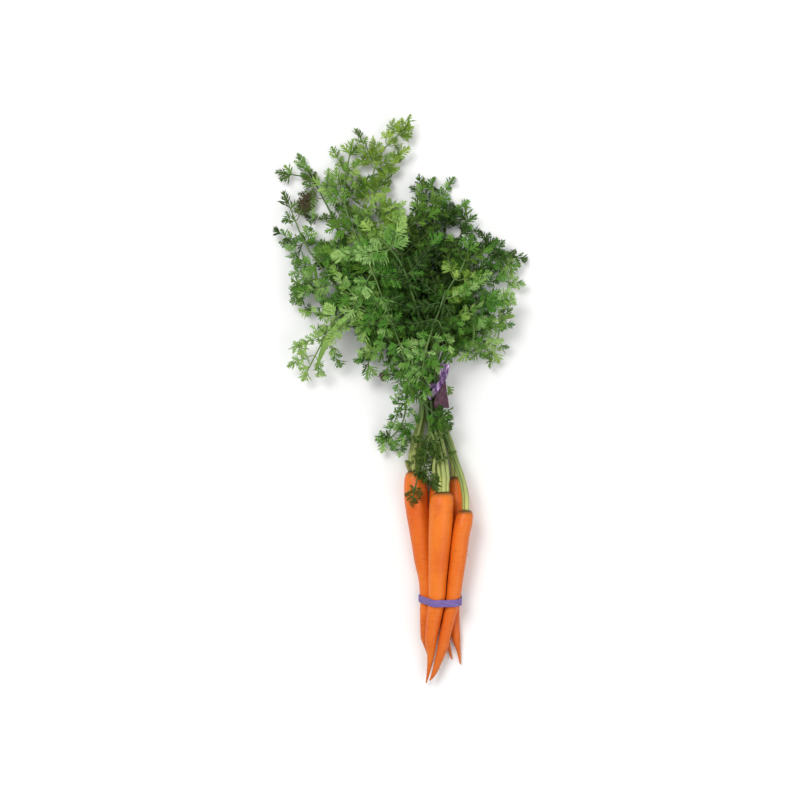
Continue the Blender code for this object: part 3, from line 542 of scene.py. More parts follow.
def leaf_template(rng, pairs):
    """A flat lobed leaflet one unit long, made of fans of triangles round inner points."""
    rim, inner, fans = [], [], []

    def at_rim(u, v):
        rim.append((u, v))
        return len(rim) - 1

    def inside(u, v, vein, lift):
        inner.append((u, v, vein, lift))
        return -len(inner)

    feet = np.linspace(0.12, 0.7, pairs + 1)
    mids = [inside(u, 0, 1.0, 0.0) for u in feet]
    foot = {hand: at_rim(feet[0] * 0.9, hand * 0.05) for hand in (1, -1)}
    neck = {hand: at_rim(0, hand * 0.035) for hand in (1, -1)}
    fans.append((mids[0], [foot[1], neck[1], neck[-1], foot[-1]], False))
    for hand in (1, -1):
        near = foot[hand]
        for k in range(pairs):
            share = k / max(1, pairs - 1)
            length = (0.66 - 0.28 * share) * rng.uniform(0.75, 1.15)
            turn = math.radians(52 - 24 * share + rng.uniform(-7, 7))
            wide = (0.044 - 0.008 * share) * rng.uniform(0.8, 1.2)
            along = np.array((math.cos(turn), hand * math.sin(turn)))
            back = np.array((-math.sin(turn), hand * math.cos(turn)))
            middle = np.array(((feet[k] + feet[k + 1]) / 2, 0))
            spots = [middle + along * length * a + back * wide * b for a, b in LOBE]
            outline = [at_rim(*spot) for spot in spots]
            far = at_rim(feet[k + 1] * 0.985, hand * 0.05)
            centre = inside(*(middle + along * length * 0.5), 0.35, rng.uniform(0.0, 0.05))
            ring = [mids[k], mids[k + 1], far, *reversed(outline), near]
            fans.append((centre, ring if hand > 0 else ring[::-1], True))
            near = far
        foot[hand] = near
    reach = 1 - feet[-1]
    sides = {hand: [at_rim(feet[-1] + reach * a, hand * b) for a, b in LEAFLET_END] for hand in (1, -1)}
    centre = inside(feet[-1] + reach * 0.45, 0, 0.5, 0.02)
    ring = [foot[-1], *sides[-1], at_rim(1, 0), *reversed(sides[1]), foot[1], mids[-1]]
    fans.append((centre, ring, True))
    return build_template(rim, inner, fans)


def build_template(rim, inner, fans):
    """Both faces of a leaflet that share their rim: places, side of the blade, vein, lift and triangles."""
    rims, inners = len(rim), len(inner)
    places = np.array([*rim, *((u, v) for u, v, _, _ in inner), *((u, v) for u, v, _, _ in inner)])
    side = np.concatenate([np.zeros(rims), np.ones(inners), -np.ones(inners)])
    vein = np.concatenate([np.zeros(rims), *[[row[2] for row in inner]] * 2])
    lift = np.concatenate([np.zeros(rims), *[[row[3] for row in inner]] * 2])
    faces = []
    for below in (0, inners):
        for centre, ring, closed in fans:
            row = [i if i >= 0 else rims - i - 1 + below for i in ring]
            core = rims - centre - 1 + below
            for a, b in zip(row, row[1:] + row[:1] if closed else row[1:]):
                faces.append((core, b, a) if below else (core, a, b))
    return places, side, vein, lift, np.array(faces)


class Leaves:
    """Leaflets waiting to be added to a frond."""

    def __init__(self, templates):
        self.templates, self.rows = templates, []

    def put(self, rng, origin, along, across, normal, size, tone, loose=False):
        """One leaflet, turned a little about its own axes, unless it would cover a clear place."""
        if not loose and is_clear(origin + along * size * 0.7):
            return
        roll, pitch = rng.gauss(0, ROLL_VARY), rng.gauss(0, PITCH_VARY)
        across, normal = (across * math.cos(roll) + normal * math.sin(roll),
                          normal * math.cos(roll) - across * math.sin(roll))
        along, normal = (along * math.cos(pitch) + normal * math.sin(pitch),
                         normal * math.cos(pitch) - along * math.sin(pitch))
        bends = [rng.uniform(*limits) for limits in (FOLD, SAG, TWIST, PHASE)]
        row = [*origin, *along, *across, *normal, size, *bends, *tone]
        self.rows.append((rng.randrange(len(self.templates)), row))

    def middles(self):
        """The cell of the foliage that each leaflet's middle is in, and its height."""
        rows = np.array([row for _, row in self.rows])
        middle = rows[:, :3] + rows[:, 3:6] * rows[:, 12:13] / 2
        return np.floor(middle[:, :2] / CELL).astype(int), middle[:, 2]

    def shade_under(self, tops):
        """Darkens each leaflet by how far it lies under the highest leaflets around it."""
        cells, heights = self.middles()
        for (_, row), (i, j), height in zip(self.rows, cells.tolist(), heights.tolist()):
            around = [tops.get((i + a, j + b), height) for a in (-1, 0, 1) for b in (-1, 0, 1)]
            under = sum(max(0.0, min(1.0, (top - height - UNDER_FROM) / UNDER_DEPTH)) for top in around)
            row[LIGHT_AT] *= 1 - under / len(around)

    def add_to(self, shape):
        for kind, (places, side, vein, lift, faces) in enumerate(self.templates):
            rows = np.array([row for which, row in self.rows if which == kind])
            if not len(rows):
                continue
            origin, along, across, normal = (rows[:, None, i : i + 3] for i in (0, 3, 6, 9))
            size, fold, sag, twist, phase = (rows[:, i : i + 1] for i in range(12, 17))
            u, v = places[:, 0][None, :], places[:, 1][None, :]
            bend = twist * u
            height = (fold * np.abs(v) - sag * u**2 + lift + 0.03 * np.sin(9 * u + phase + 7 * v)
                      + bend * v - 0.5 * sag * v**2)
            points = (origin + size[:, :, None] * (u[:, :, None] * along + v[:, :, None] * across
                      + height[:, :, None] * normal) + (side * LEAF_HALF)[None, :, None] * normal)
            tones = np.empty((len(rows), len(u[0]), 4))
            tones[:, :, 0] = rows[:, LIGHT_AT : LIGHT_AT + 1] + 0.08 * (side < 0) + 0.28 * (u - 0.4)
            tones[:, :, 1] = rows[:, 18:19] + 0.25 * np.clip(u - 0.6, 0, 1)
            tones[:, :, 2] = vein
            tones[:, :, 3] = rows[:, 19:20]
            count = len(places)
            every = (faces[None] + count * np.arange(len(rows))[:, None, None]).reshape(-1, 3)
            shape.add(points.reshape(-1, 3), every, np.clip(tones, 0, 1).reshape(-1, 4),
                      np.tile(side == 0, len(rows)), 0)


def tube(shape, places, radii, sides, tones, kind, normal=None, ridge=0.0, ridges=5):
    """A closed tube along places, with a turning frame and optional ridges along it."""
    places = np.asarray(places, float)
    tangents = np.gradient(places, axis=0)
    tangents /= np.linalg.norm(tangents, axis=1)[:, None]
    normal = np.array(normal if normal is not None else (0.0, 0.0, 1.0), float)
    if abs(normal @ tangents[0]) > 0.9:
        normal = np.array((1.0, 0.0, 0.0))
    turns = 2 * math.pi * np.arange(sides) / sides
    wave = 1 + ridge * np.cos(ridges * turns)
    rings = []
    for place, tangent, radius in zip(places, tangents, radii):
        normal = normal - tangent * (normal @ tangent)
        normal /= np.linalg.norm(normal)
        side = np.cross(normal, tangent)
        out = np.cos(turns)[:, None] * side + np.sin(turns)[:, None] * normal
        rings.append(place + radius * wave[:, None] * out)
    close_rings(shape, np.array(rings), tones, kind)


def close_rings(shape, rings, tones, kind):
    """A closed body through rings of points, with a tone for each ring or each point."""
    rows, sides = rings.shape[:2]
    base = np.arange(rows - 1)[:, None] * sides + np.arange(sides)[None, :]
    after = np.arange(rows - 1)[:, None] * sides + (np.arange(sides)[None, :] + 1) % sides
    walls = np.concatenate([np.stack([base, after, after + sides], -1).reshape(-1, 3),
                            np.stack([base, after + sides, base + sides], -1).reshape(-1, 3)])
    first, last = rows * sides, rows * sides + 1
    ring = np.arange(sides)
    caps = np.concatenate([np.stack([np.full(sides, first), (ring + 1) % sides, ring], -1),
                           np.stack([np.full(sides, last), (rows - 1) * sides + ring,
                                     (rows - 1) * sides + (ring + 1) % sides], -1)])
    points = np.concatenate([rings.reshape(-1, 3), rings[0].mean(0)[None], rings[-1].mean(0)[None]])
    tones = np.asarray(tones, float)
    if tones.ndim == 1:
        tones = np.tile(tones, (rows, 1))
    if tones.ndim == 2:
        tones = np.repeat(tones[:, None], sides, 1)
    tones = np.concatenate([tones.reshape(-1, 4), tones[0, :1], tones[-1, :1]])
    shape.add(points, np.concatenate([walls, caps]), tones, False, kind)


def is_clear(place):
    return any((place[0] - x) ** 2 + (place[1] - y) ** 2 < reach**2 for x, y, reach in CLEAR)


def withered(place):
    """How dry a leaflet is at a place: one in the middle of a withered spot, nothing away from them."""
    return max(amount * math.exp(-((place.x - x) ** 2 + (place.y - y) ** 2) / reach**2)
               for x, y, reach, amount in WITHERED)


def patched_and_shaded(light, yellow, x, y):
    """A lightness and yellowness with what the patches of the foliage add to them at a place, painted shade
    of the dense middle included.
    """
    for at_x, at_y, reach, lighter, yellower in PATCHES_AND_PAINTED_SHADE:
        near = math.exp(-((x - at_x) ** 2 + (y - at_y) ** 2) / reach**2)
        light += lighter * near
        yellow += yellower * near
    return min(1, max(0, light)), min(1, max(0, yellow))


def tone_at(rng, name, place, share, mood=0.0):
    """Lightness, with painted light and shade from its height and from the patches, yellowness and dryness of
    a leaflet.
    """
    light, yellow = FROND_LOOKS[name]
    light += (mood + rng.uniform(-LIGHT_VARY, LIGHT_VARY) + LIGHTER_OUT * share
              + (place.z - MIDDLE_HEIGHT) * PAINTED_LIGHT_BY_HEIGHT)
    yellow += rng.uniform(*YELLOW_VARY) + YELLOWER_OUT * share
    return *patched_and_shaded(light, yellow, place.x, place.y), withered(place)


def add_rib(shape, line, thick, light, yellow, dry, normal=None):
    """A thin rib, darker than the leaflets at it."""
    radii = np.linspace(thick, RIB_THIN, len(line))
    tube(shape, line, radii, RIB_SIDES, (light * 0.5, yellow, 0.0, dry), 1, normal)


def dress_pinna(shape, leaves, rng, name, pinna, frames, scale, share):
    """The rib of a side branch and its lobed leaflets."""
    spots = [pinna.place] + [frame[0] for frame in frames] + [frames[-1][1]]
    line = smooth_line([tuple(spot) for spot in spots], RIB_STEP)
    end = next((i for i, point in enumerate(line) if i > 2 and is_clear(point)), len(line))
    mood = rng.uniform(*MOOD)
    tone = tone_at(rng, name, frames[0][1], 0.3 * share, mood)
    add_rib(shape, line[:end], RIB_THICK * (0.75 + 0.25 * scale), *tone, pinna.normal)
    small = SMALL_LEAVES.get(name, 1)
    for i, (near, far, direction, across, normal) in enumerate(frames):
        if is_clear(near) or is_clear(far):
            return
        lean = TURN_FIRST - TURN_LESS * ((i + 1) / pinna.count)
        size = pinna.leaflet_reach(i, scale) * LEAFLET_GROW
        for step, hand in ((step, hand) for step in LEAFLETS_AT for hand in (1, -1)):
            if i == 0 and step == LEAFLETS_AT[0] and rng.random() < FIRST_LOST:
                continue
            origin = near.lerp(far, step + rng.uniform(-AT_VARY, AT_VARY))
            turn = math.radians(lean + rng.uniform(-TURN_VARY, TURN_VARY))
            along = direction * math.cos(turn) + across * hand * math.sin(turn)
            long = size * rng.uniform(*LONG_VARY) * (LONG_FIRST - LONG_LESS * step)
            long = small * max(LEAFLET_LEAST, long)
            tone = tone_at(rng, name, origin, 0.4 * share, mood)
            leaves.put(rng, origin, along, normal.cross(along), normal, long, tone)
    _, far, direction, across, normal = frames[-1]
    long = small * max(LEAFLET_LEAST, pinna.reach * LAST_LEAFLET * LEAFLET_GROW)
    leaves.put(rng, far, direction, across, normal, long, tone_at(rng, name, far, 0.5 * share + 0.3, mood))


def dress_sprig(shape, leaves, rng, name, place, turn, size):
    """A small flat side branch with leaflets in pairs."""
    ahead = Vector((math.cos(turn), math.sin(turn), 0))
    across = UP.cross(ahead)
    line = [place + ahead * size * t + UP * 2 * t * (1 - t) for t in np.linspace(0, 0.85, 7)]
    add_rib(shape, line, RIB_THICK, *tone_at(rng, name, place, 0.5))
    for step, hand in ((step, hand) for step in SPRIG_AT for hand in (1, -1)):
        lean = math.radians(SPRIG_TURN + rng.uniform(-SPRIG_VARY, SPRIG_VARY))
        way = ahead * math.cos(lean) + across * hand * math.sin(lean)
        tone = tone_at(rng, name, place, 0.5)
        long = size * (SPRIG_FIRST - SPRIG_LESS * step)
        leaves.put(rng, place + ahead * size * step, way, UP.cross(way), UP, long, tone, loose=True)
    tone = tone_at(rng, name, place, 0.8)
    leaves.put(rng, place + ahead * size * 0.7, ahead, across, UP, size * 0.5, tone, loose=True)


def add_tip(leaves, rng, name, stem):
    """The last leaflets of a frond, at the tip of its stalk."""
    tip, tangent, side, normal, _ = stem.at(stem.along[-1])
    for turn, back in TIP_LEAFLETS:
        ahead = tangent * math.cos(turn) + side * math.sin(turn)
        long = TIP_LEAFLET * SMALL_LEAVES.get(name, 1)
        tone = tone_at(rng, name, tip, 0.9)
        leaves.put(rng, tip - tangent * back, ahead, normal.cross(ahead), normal, long, tone)


def add_stray(leaves, rng, place, turn, size, *tone):
    """A loose leaflet that lies flat."""
    turn = math.radians(turn)
    ahead = Vector((math.cos(turn), math.sin(turn), -0.1)).normalized()
    leaves.put(rng, Vector(place), ahead, UP.cross(ahead), UP, size, tone, loose=True)


def add_stalk(shape, name, stem):
    """The ribbed stalk of a frond, pale near the root."""
    line = smooth_line(stem.line, STALK_STEP)
    run = distances(line)
    radius = np.interp(run, stem.along, stem.radius) * (0.97 + THICKEN * np.exp(-run / THICK_REACH))
    pale = np.clip(1 - run / PALE_LENGTH, 0, 1)
    # Stalk lightness follows the patches, so it takes their painted shade in the dense middle too
    light = np.array([patched_and_shaded(FROND_LOOKS[name][0] * 0.4, 0, x, y)[0] for x, y, _ in line])
    tones = np.stack([light + (0.8 - light) * pale, 0.15 + 0.2 * pale, pale**1.5, np.zeros(len(run))], -1)
    tube(shape, line, radius, FINE_SIDES, tones, 1, ridge=RIDGE, ridges=RIDGES)


def frond_parts(name, line, slot_at, templates):
    """The stalk and ribs of a frond as a shape, and its leaflets."""
    along, radius, blade = radii_along(name, line, slot_at)
    stem = Stem(line, along, radius)
    solid = BVHTree.FromObject(frame["nodes"][name], bpy.context.evaluated_depsgraph_get())
    rng = random.Random(f"fine {name}")
    shape, leaves = Shape(), Leaves(templates)
    for pinna, share in pinnae_of(name, stem, blade):
        frames, scale = pinna.found(solid)
        if frames:
            dress_pinna(shape, leaves, rng, name, pinna, frames, scale, share)
    add_tip(leaves, rng, name, stem)
    for place, turn, size in SPRIGS.get(name, []):
        dress_sprig(shape, leaves, rng, name, Vector(place), math.radians(turn), size)
    for stray in STRAYS.get(name, []):
        add_stray(leaves, rng, *stray)
    add_stalk(shape, name, stem)
    if name == SHEATH_OWNER:
        cut = smooth_line(CUT_STALK, 1.0)
        tube(shape, cut, np.full(len(cut), CUT_RADIUS), 10, (0.6, 0.4, 0.8, 0.45), 1)
        ribbon(shape, SHEATH, 0.5, 0, 0.25, rng, (0.85, 0.25, 0.5, 0.0))
    return shape, leaves


def tops_of(every):
    """The height of the highest leaflet in each cell of the foliage."""
    tops = {}
    for _, leaves in every:
        cells, heights = leaves.middles()
        for cell, height in zip(map(tuple, cells.tolist()), heights.tolist()):
            tops[cell] = max(height, tops.get(cell, height))
    return tops


def shape_floor(shape):
    """Keeps every point above the table, pressed flatter the lower it would fall."""
    for points in shape.points:
        low = points[:, 2] < FLOOR_NEAR
        points[low, 2] = FLOOR_LEAST + (FLOOR_NEAR - FLOOR_LEAST) * np.exp(
            (points[low, 2] - FLOOR_NEAR) / (FLOOR_NEAR - FLOOR_LEAST))


def fine_rings(rings):
    """Many rings of a root: distance from the crown, x, y, radius and z, smoothed between its ends."""
    table = np.array(rings, float)
    table[:, 3] += table[:, 2] * ROOT_FLAT
    knots = distances(table[:, :2])
    crown = np.linspace(0, knots[3], CROWN_RINGS)
    run = np.concatenate([crown[:-1], np.linspace(knots[3], knots[-1], BODY_RINGS)])
    kernel = np.exp(-((run[:, None] - run[None, :]) / EVEN_OVER) ** 2)
    for part in (slice(CROWN_RINGS), slice(-TAIL_RINGS, None)):
        kernel[part] = np.eye(len(run))[part]
    kernel /= kernel.sum(1)[:, None]
    return run, *(kernel @ np.interp(run, knots, table[:, i]) for i in range(4))


def relief(rng, name, run, radius, turns):
    """How far each point of a root is dented or swollen, and how much darker it is painted there, with
    painted shade along the left root's side.
    """
    grow_by, mark_and_shade = np.zeros((2, len(run), len(turns)))
    for _ in range(DENTS):
        place, turn = rng.uniform(4, run[-1] - 12), rng.uniform(0, 2 * math.pi)
        long, wide, deep = (rng.uniform(*limits) for limits in (DENT_LONG, DENT_WIDE, DENT_DEEP))
        away = (turns - turn + math.pi) % (2 * math.pi) - math.pi
        dent = np.exp(-((run[:, None] - place) / long) ** 2 - (away[None, :] / wide) ** 4)
        grow_by -= deep * dent
        mark_and_shade = np.maximum(mark_and_shade, dent * rng.uniform(*DENT_MARK))
    # Smears, and the band of painted shade along the left root's side
    if name in SMEARS_AND_SIDE_SHADE:
        place, turn, long, wide = SMEARS_AND_SIDE_SHADE[name]
        smear_and_shade = np.exp(-((run[:, None] - place) / long) ** 2 - ((turns[None] - turn) / wide) ** 2)
        mark_and_shade = np.maximum(mark_and_shade, 0.8 * smear_and_shade)
    for _ in range(SWELLS):
        place, deep = rng.uniform(0, run[-1]), rng.uniform(-SWELL_DEEP, SWELL_DEEP)
        turn, long = rng.uniform(0, 2 * math.pi), rng.uniform(*SWELL_LONG)
        swell = (radius * deep)[:, None] * np.exp(-((run[:, None] - place) / long) ** 2)
        grow_by += swell * np.cos(turns - turn)[None]
    return grow_by * np.clip(radius / 4, 0.1, 1)[:, None], mark_and_shade


def add_hairs(shape, rng, share, middles, radius):
    """Thin side roots on the upper side."""
    for _ in range(HAIRS):
        i = rng.randrange(20, len(middles) - 10)
        turn = rng.uniform(-0.3, math.pi + 0.3)
        out = np.array((math.cos(turn), 0, math.sin(turn)))
        start = middles[i] + out * (radius[i] - 0.4)
        long = rng.uniform(*HAIR_LONG) * (0.5 + 0.5 * radius[i] / 10)
        lean = np.array((rng.uniform(-0.5, 0.5), -rng.uniform(0.3, 1.2), rng.uniform(-0.3, 0.3)))
        spots = [start + out * long * t * 0.6 + lean * long * t**1.6 for t in np.linspace(0, 1, 6)]
        tube(shape, spots, np.linspace(*HAIR_THICK, 6), 5, (share[i], 0.25, 0.6, 0.5), 0)


def root_piece(name, rings, material):
    """A root with fine rings round it, short dents across it, a cupped crown and thin side roots."""
    rng = random.Random(f"fine {name}")
    run, x, y, radius, z = fine_rings(rings)
    turns = 2 * math.pi * np.arange(FINE_ROUND) / FINE_ROUND
    grow_by, mark_and_shade = relief(rng, name, run, radius, turns)
    middles = np.stack([x, y, z], -1)
    out = np.stack([np.cos(turns), np.zeros(FINE_ROUND), np.sin(turns)], -1)
    rings = middles[:, None] + (radius[:, None] + grow_by)[:, :, None] * out
    cup = rings[:1].repeat(len(CUP), 0)
    for ring, (share, deep) in zip(cup, CUP):
        ring[:] = middles[0] + (ring - middles[0]) * share
        ring[:, 1] -= deep
    rings = np.concatenate([cup, rings])
    share = np.concatenate([np.zeros(len(CUP)), run / run[-1]])
    tones = np.empty((len(rings), FINE_ROUND, 4))
    tones[:, :, 0] = share[:, None]
    tones[:, :, 1] = np.concatenate([np.ones(len(CUP)), np.exp(-((run / 2.6) ** 2))])[:, None]
    tones[:, :, 2] = np.concatenate([np.zeros((len(CUP), FINE_ROUND)), mark_and_shade])
    tones[:, :, 3] = rng.random()
    shape = Shape()
    close_rings(shape, rings, tones, 0)
    add_hairs(shape, rng, share, middles, radius)
    shape_floor(shape)
    return make_piece(f"{name}_fine", shape, [material], "carrot_root", name)


def hull_loop(circles, steps, place, profile):
    """Rings of a band round the hull of circles; its profile holds heights and shares of half the width."""
    rings = []
    for i in range(steps):
        turn = 2 * math.pi * i / steps
        ux, uz = math.cos(turn), math.sin(turn)
        x, z, radius = max(circles, key=lambda c: c[0] * ux + c[1] * uz + c[2])
        rings.append([place(x + ux * (radius + up), z + uz * (radius + up), edge) for up, edge in profile])
    return np.array(rings)


def close_loop(shape, rings):
    """A ring-shaped body through closed sections."""
    rows, sides = rings.shape[:2]
    i, j = np.arange(rows)[:, None], np.arange(sides)[None, :]
    a, b = i * sides + j, i * sides + (j + 1) % sides
    c, d = (i + 1) % rows * sides + (j + 1) % sides, (i + 1) % rows * sides + j
    faces = np.concatenate([np.stack([a, b, c], -1).reshape(-1, 3), np.stack([a, c, d], -1).reshape(-1, 3)])
    shape.add(rings.reshape(-1, 3), faces, PLAIN, False, 0)


def root_section(rings, y):
    """Centre and radius of a root where the plane at y cuts it."""
    ys = [-ring[1] for ring in rings]
    x, radius, low = (float(np.interp(-y, ys, [ring[i] for ring in rings])) for i in (0, 2, 3))
    return x, low + radius * ROOT_FLAT, radius


def band_piece(material):
    circles = []
    for rings in ROOTS.values():
        _, z, _ = root_section(rings, BAND_Y)
        y = BAND_Y - BAND_TILT * (z - BAND_MIDDLE_Z) + BAND_WIDTH / 2
        circles.append(root_section(rings, y))

    def place(x, z, edge):
        wave = 0.25 * math.sin(x * 0.35) + 0.15 * math.sin(z * 0.8)
        return x, BAND_Y - BAND_TILT * (z - BAND_MIDDLE_Z) + edge * BAND_WIDTH / 2 + wave, z

    profile = [(0, -0.9), (0, -0.3), (0, 0.3), (0, 0.9), (0.2, 1.0), (0.8, 1.0), (1.0, 0.9),
               (1.06, 0.3), (1.06, -0.3), (1.0, -0.9), (0.8, -1.0), (0.2, -1.0)]
    shape = Shape()
    close_loop(shape, hull_loop(circles, BAND_STEPS, place, [(GAP + up, edge) for up, edge in profile]))
    return make_piece("rubber_band_fine", shape, [material], "rubber_band", "rubber_band")


def ribbon(shape, spine, thick, kind, crinkle, rng, tone=PLAIN):
    """A crinkled strip along a spine of x, y, z and width, closed all round."""
    spine = np.array(spine, float)
    line = smooth_line(spine[:, :3], STRIP_STEP)
    widths = np.interp(np.linspace(0, 1, len(line)), np.linspace(0, 1, len(spine)), spine[:, 3])
    ahead = np.gradient(line, axis=0)
    ahead /= np.linalg.norm(ahead, axis=1)[:, None]
    columns = np.linspace(-0.5, 0.5, STRIP_COLUMNS)
    phases = [rng.uniform(*PHASE) for _ in range(4)]
    rings = []
    for i, (place, way, width) in enumerate(zip(line, ahead, widths)):
        side = np.cross(way, (0, 0, 1.0))
        side /= np.linalg.norm(side)
        up = np.cross(side, way)
        wave = crinkle * (np.sin(columns * 19 + phases[0] + 0.05 * i)
                          + 0.6 * np.sin(columns * 37 + phases[1] - 0.11 * i)
                          + 0.5 * np.sin(i * 0.55 + phases[2] + columns * 5))
        top = place + side * columns[:, None] * width + up * (wave + thick / 2)[:, None]
        low = place + side * columns[:, None] * width + up * (wave - thick / 2)[:, None]
        rings.append(np.concatenate([top, low[::-1]]))
    close_rings(shape, np.array(rings), tone, kind)


def tie_piece(materials):
    rng = random.Random("tie")
    shape = Shape()

    def place(x, z, edge):
        return x, NECK.y + edge * TIE_WIDTH / 2 + 0.3 * math.sin(x * 0.9), z

    profile = [(0, -1), (0, 0), (0, 1), (0.5, 1.05), (0.7, 0.5), (0.55, 0), (0.75, -0.5), (0.5, -1.05)]
    close_loop(shape, hull_loop([(NECK.x, NECK.z, TIE_INSIDE)], TIE_STEPS, place, profile))
    for spine, kind, crinkle in TIE_STRIPS:
        ribbon(shape, spine, STRIP_THICK, kind, crinkle, rng)
    return make_piece("twist_tie_fine", shape, materials, "twist_tie", "twist_tie")


class Paint:
    """A material with a Principled shader, and short ways to add nodes to it."""

    def __init__(self, name, roughness, **sockets):
        self.material = bpy.data.materials.new(name)
        self.material.use_nodes = True
        self.tree = self.material.node_tree
        self.shader = self.tree.nodes["Principled BSDF"]
        self.shader.inputs["Roughness"].default_value = roughness
        for socket, value in sockets.items():
            self.shader.inputs[socket.replace("_", " ")].default_value = value

    def feed(self, socket, value):
        if isinstance(value, bpy.types.NodeSocket):
            self.tree.links.new(value, socket)
        elif isinstance(value, tuple):
            socket.default_value = (*value, 1)
        else:
            socket.default_value = value

    def mix(self, factor, first, second):
        node = self.tree.nodes.new("ShaderNodeMix")
        node.data_type = "RGBA"
        for i, value in ((0, factor), (6, first), (7, second)):
            self.feed(node.inputs[i], value)
        return node.outputs[2]

    def part(self, share, value):
        """A share of a value, kept from 0 to 1."""
        node = self.tree.nodes.new("ShaderNodeMath")
        node.operation, node.use_clamp = "MULTIPLY", True
        self.feed(node.inputs[0], value)
        self.feed(node.inputs[1], share)
        return node.outputs[0]

    def tones(self):
        """The four values that each point of the piece holds."""
        held = self.tree.nodes.new("ShaderNodeAttribute")
        held.attribute_name = "tone"
        split = self.tree.nodes.new("ShaderNodeSeparateColor")
        self.tree.links.new(held.outputs["Color"], split.inputs[0])
        return *split.outputs, held.outputs["Alpha"]

    def noise(self, scale, detail=3.0, stretch=(1, 1, 1)):
        place = self.tree.nodes.new("ShaderNodeTexCoord")
        turned = self.tree.nodes.new("ShaderNodeMapping")
        turned.inputs["Scale"].default_value = stretch
        node = self.tree.nodes.new("ShaderNodeTexNoise")
        node.inputs["Scale"].default_value = scale
        node.inputs["Detail"].default_value = detail
        self.tree.links.new(place.outputs["Object"], turned.inputs["Vector"])
        self.tree.links.new(turned.outputs["Vector"], node.inputs["Vector"])
        return node.outputs[0]

    def spread(self, value, low, high):
        """A value stretched so that low becomes 0 and high becomes 1."""
        node = self.tree.nodes.new("ShaderNodeMapRange")
        self.feed(node.inputs[0], value)
        node.inputs[1].default_value, node.inputs[2].default_value = low, high
        return node.outputs[0]

    def finish(self, colour, bump=None, strength=0.2, distance=0.0004):
        """The material with its colour and, where it has one, its bump."""
        self.feed(self.shader.inputs["Base Color"], colour)
        if bump is not None:
            node = self.tree.nodes.new("ShaderNodeBump")
            node.inputs["Strength"].default_value = strength
            node.inputs["Distance"].default_value = distance
            self.tree.links.new(bump, node.inputs["Height"])
            self.tree.links.new(node.outputs[0], self.shader.inputs["Normal"])
        return self.material


def leaf_paint():
    paint = Paint("leaf", 0.55, Specular_IOR_Level=0.05)
    light, yellow, vein, dry = paint.tones()
    colour = paint.mix(paint.spread(light, 0.0, 0.5), (0.004, 0.015, 0.003), (0.066, 0.225, 0.021))
    colour = paint.mix(paint.spread(light, 0.5, 1.0), colour, (0.30, 0.49, 0.16))
    colour = paint.mix(paint.part(0.8, yellow), colour, paint.mix(
        light, (0.03, 0.055, 0.004), (0.36, 0.5, 0.045)))
    colour = paint.mix(paint.part(0.2, vein), colour, (0.24, 0.38, 0.1))
    mottle = paint.noise(420, 4)
    colour = paint.mix(paint.spread(mottle, 0.4, 0.8), colour, paint.mix(0.5, colour, (0.02, 0.07, 0.008)))
    colour = paint.mix(dry, colour, paint.mix(mottle, (0.022, 0.011, 0.010), (0.10, 0.062, 0.042)))
    return paint.finish(colour, paint.noise(900, 2), 0.25)


def stalk_paint():
    paint = Paint("stalk", 0.42, Specular_IOR_Level=0.4)
    light, yellow, pale, dry = paint.tones()
    streak = paint.noise(160, 4, (4, 0.5, 4))
    green = paint.mix(light, (0.03, 0.09, 0.012), (0.26, 0.40, 0.10))
    green = paint.mix(paint.part(0.4, yellow), green, (0.30, 0.36, 0.05))
    colour = paint.mix(pale, green, (0.54, 0.56, 0.18))
    colour = paint.mix(paint.spread(streak, 0.4, 0.7), colour, paint.mix(0.35, colour, (0.08, 0.16, 0.03)))
    colour = paint.mix(dry, colour, (0.12, 0.07, 0.03))
    return paint.finish(colour, streak, 0.3)


def root_paint():
    paint = Paint("carrot_skin", 0.42, Specular_IOR_Level=0.3)
    share, crown, mark_and_shade, tint = paint.tones()
    colour = paint.mix(tint, (0.74, 0.158, 0.009), (0.81, 0.190, 0.014))
    blotch = paint.noise(45, 5, (1, 0.6, 1))
    colour = paint.mix(paint.spread(blotch, 0.42, 0.72), colour, (0.68, 0.115, 0.008))
    fleck = paint.noise(260, 3, (1, 3.2, 1))
    colour = paint.mix(paint.part(0.3, paint.spread(fleck, 0.58, 0.74)), colour, (0.90, 0.36, 0.10))
    # Darker dents and smears, and the painted shade along the left root's side
    colour = paint.mix(paint.part(0.6, mark_and_shade), colour, (0.5, 0.085, 0.01))
    tail = paint.spread(share, 0.72, 1.0)
    colour = paint.mix(paint.part(0.5, tail), colour, (0.46, 0.12, 0.02))
    colour = paint.mix(crown, colour, paint.mix(fleck, (0.05, 0.022, 0.006), (0.2, 0.13, 0.035)))
    grain = paint.noise(700, 4, (1, 2.0, 1))
    return paint.finish(colour, grain, 0.3, 0.0003)


def trim_paint(name, roughness, pattern, limits, colours, bump, strength, **sockets):
    """A material in two tones, for the band and the tie."""
    paint = Paint(name, roughness, **sockets)
    colour = paint.mix(paint.spread(paint.noise(*pattern), *limits), *colours)
    return paint.finish(colour, paint.noise(*bump), strength)


def band_paint():
    return trim_paint("band_rubber", 0.5, (300, 4, (1, 4, 1)), (0.35, 0.7),
                      ((0.12, 0.072, 0.27), (0.21, 0.135, 0.39)), (1200, 2), 0.2, Specular_IOR_Level=0.4)


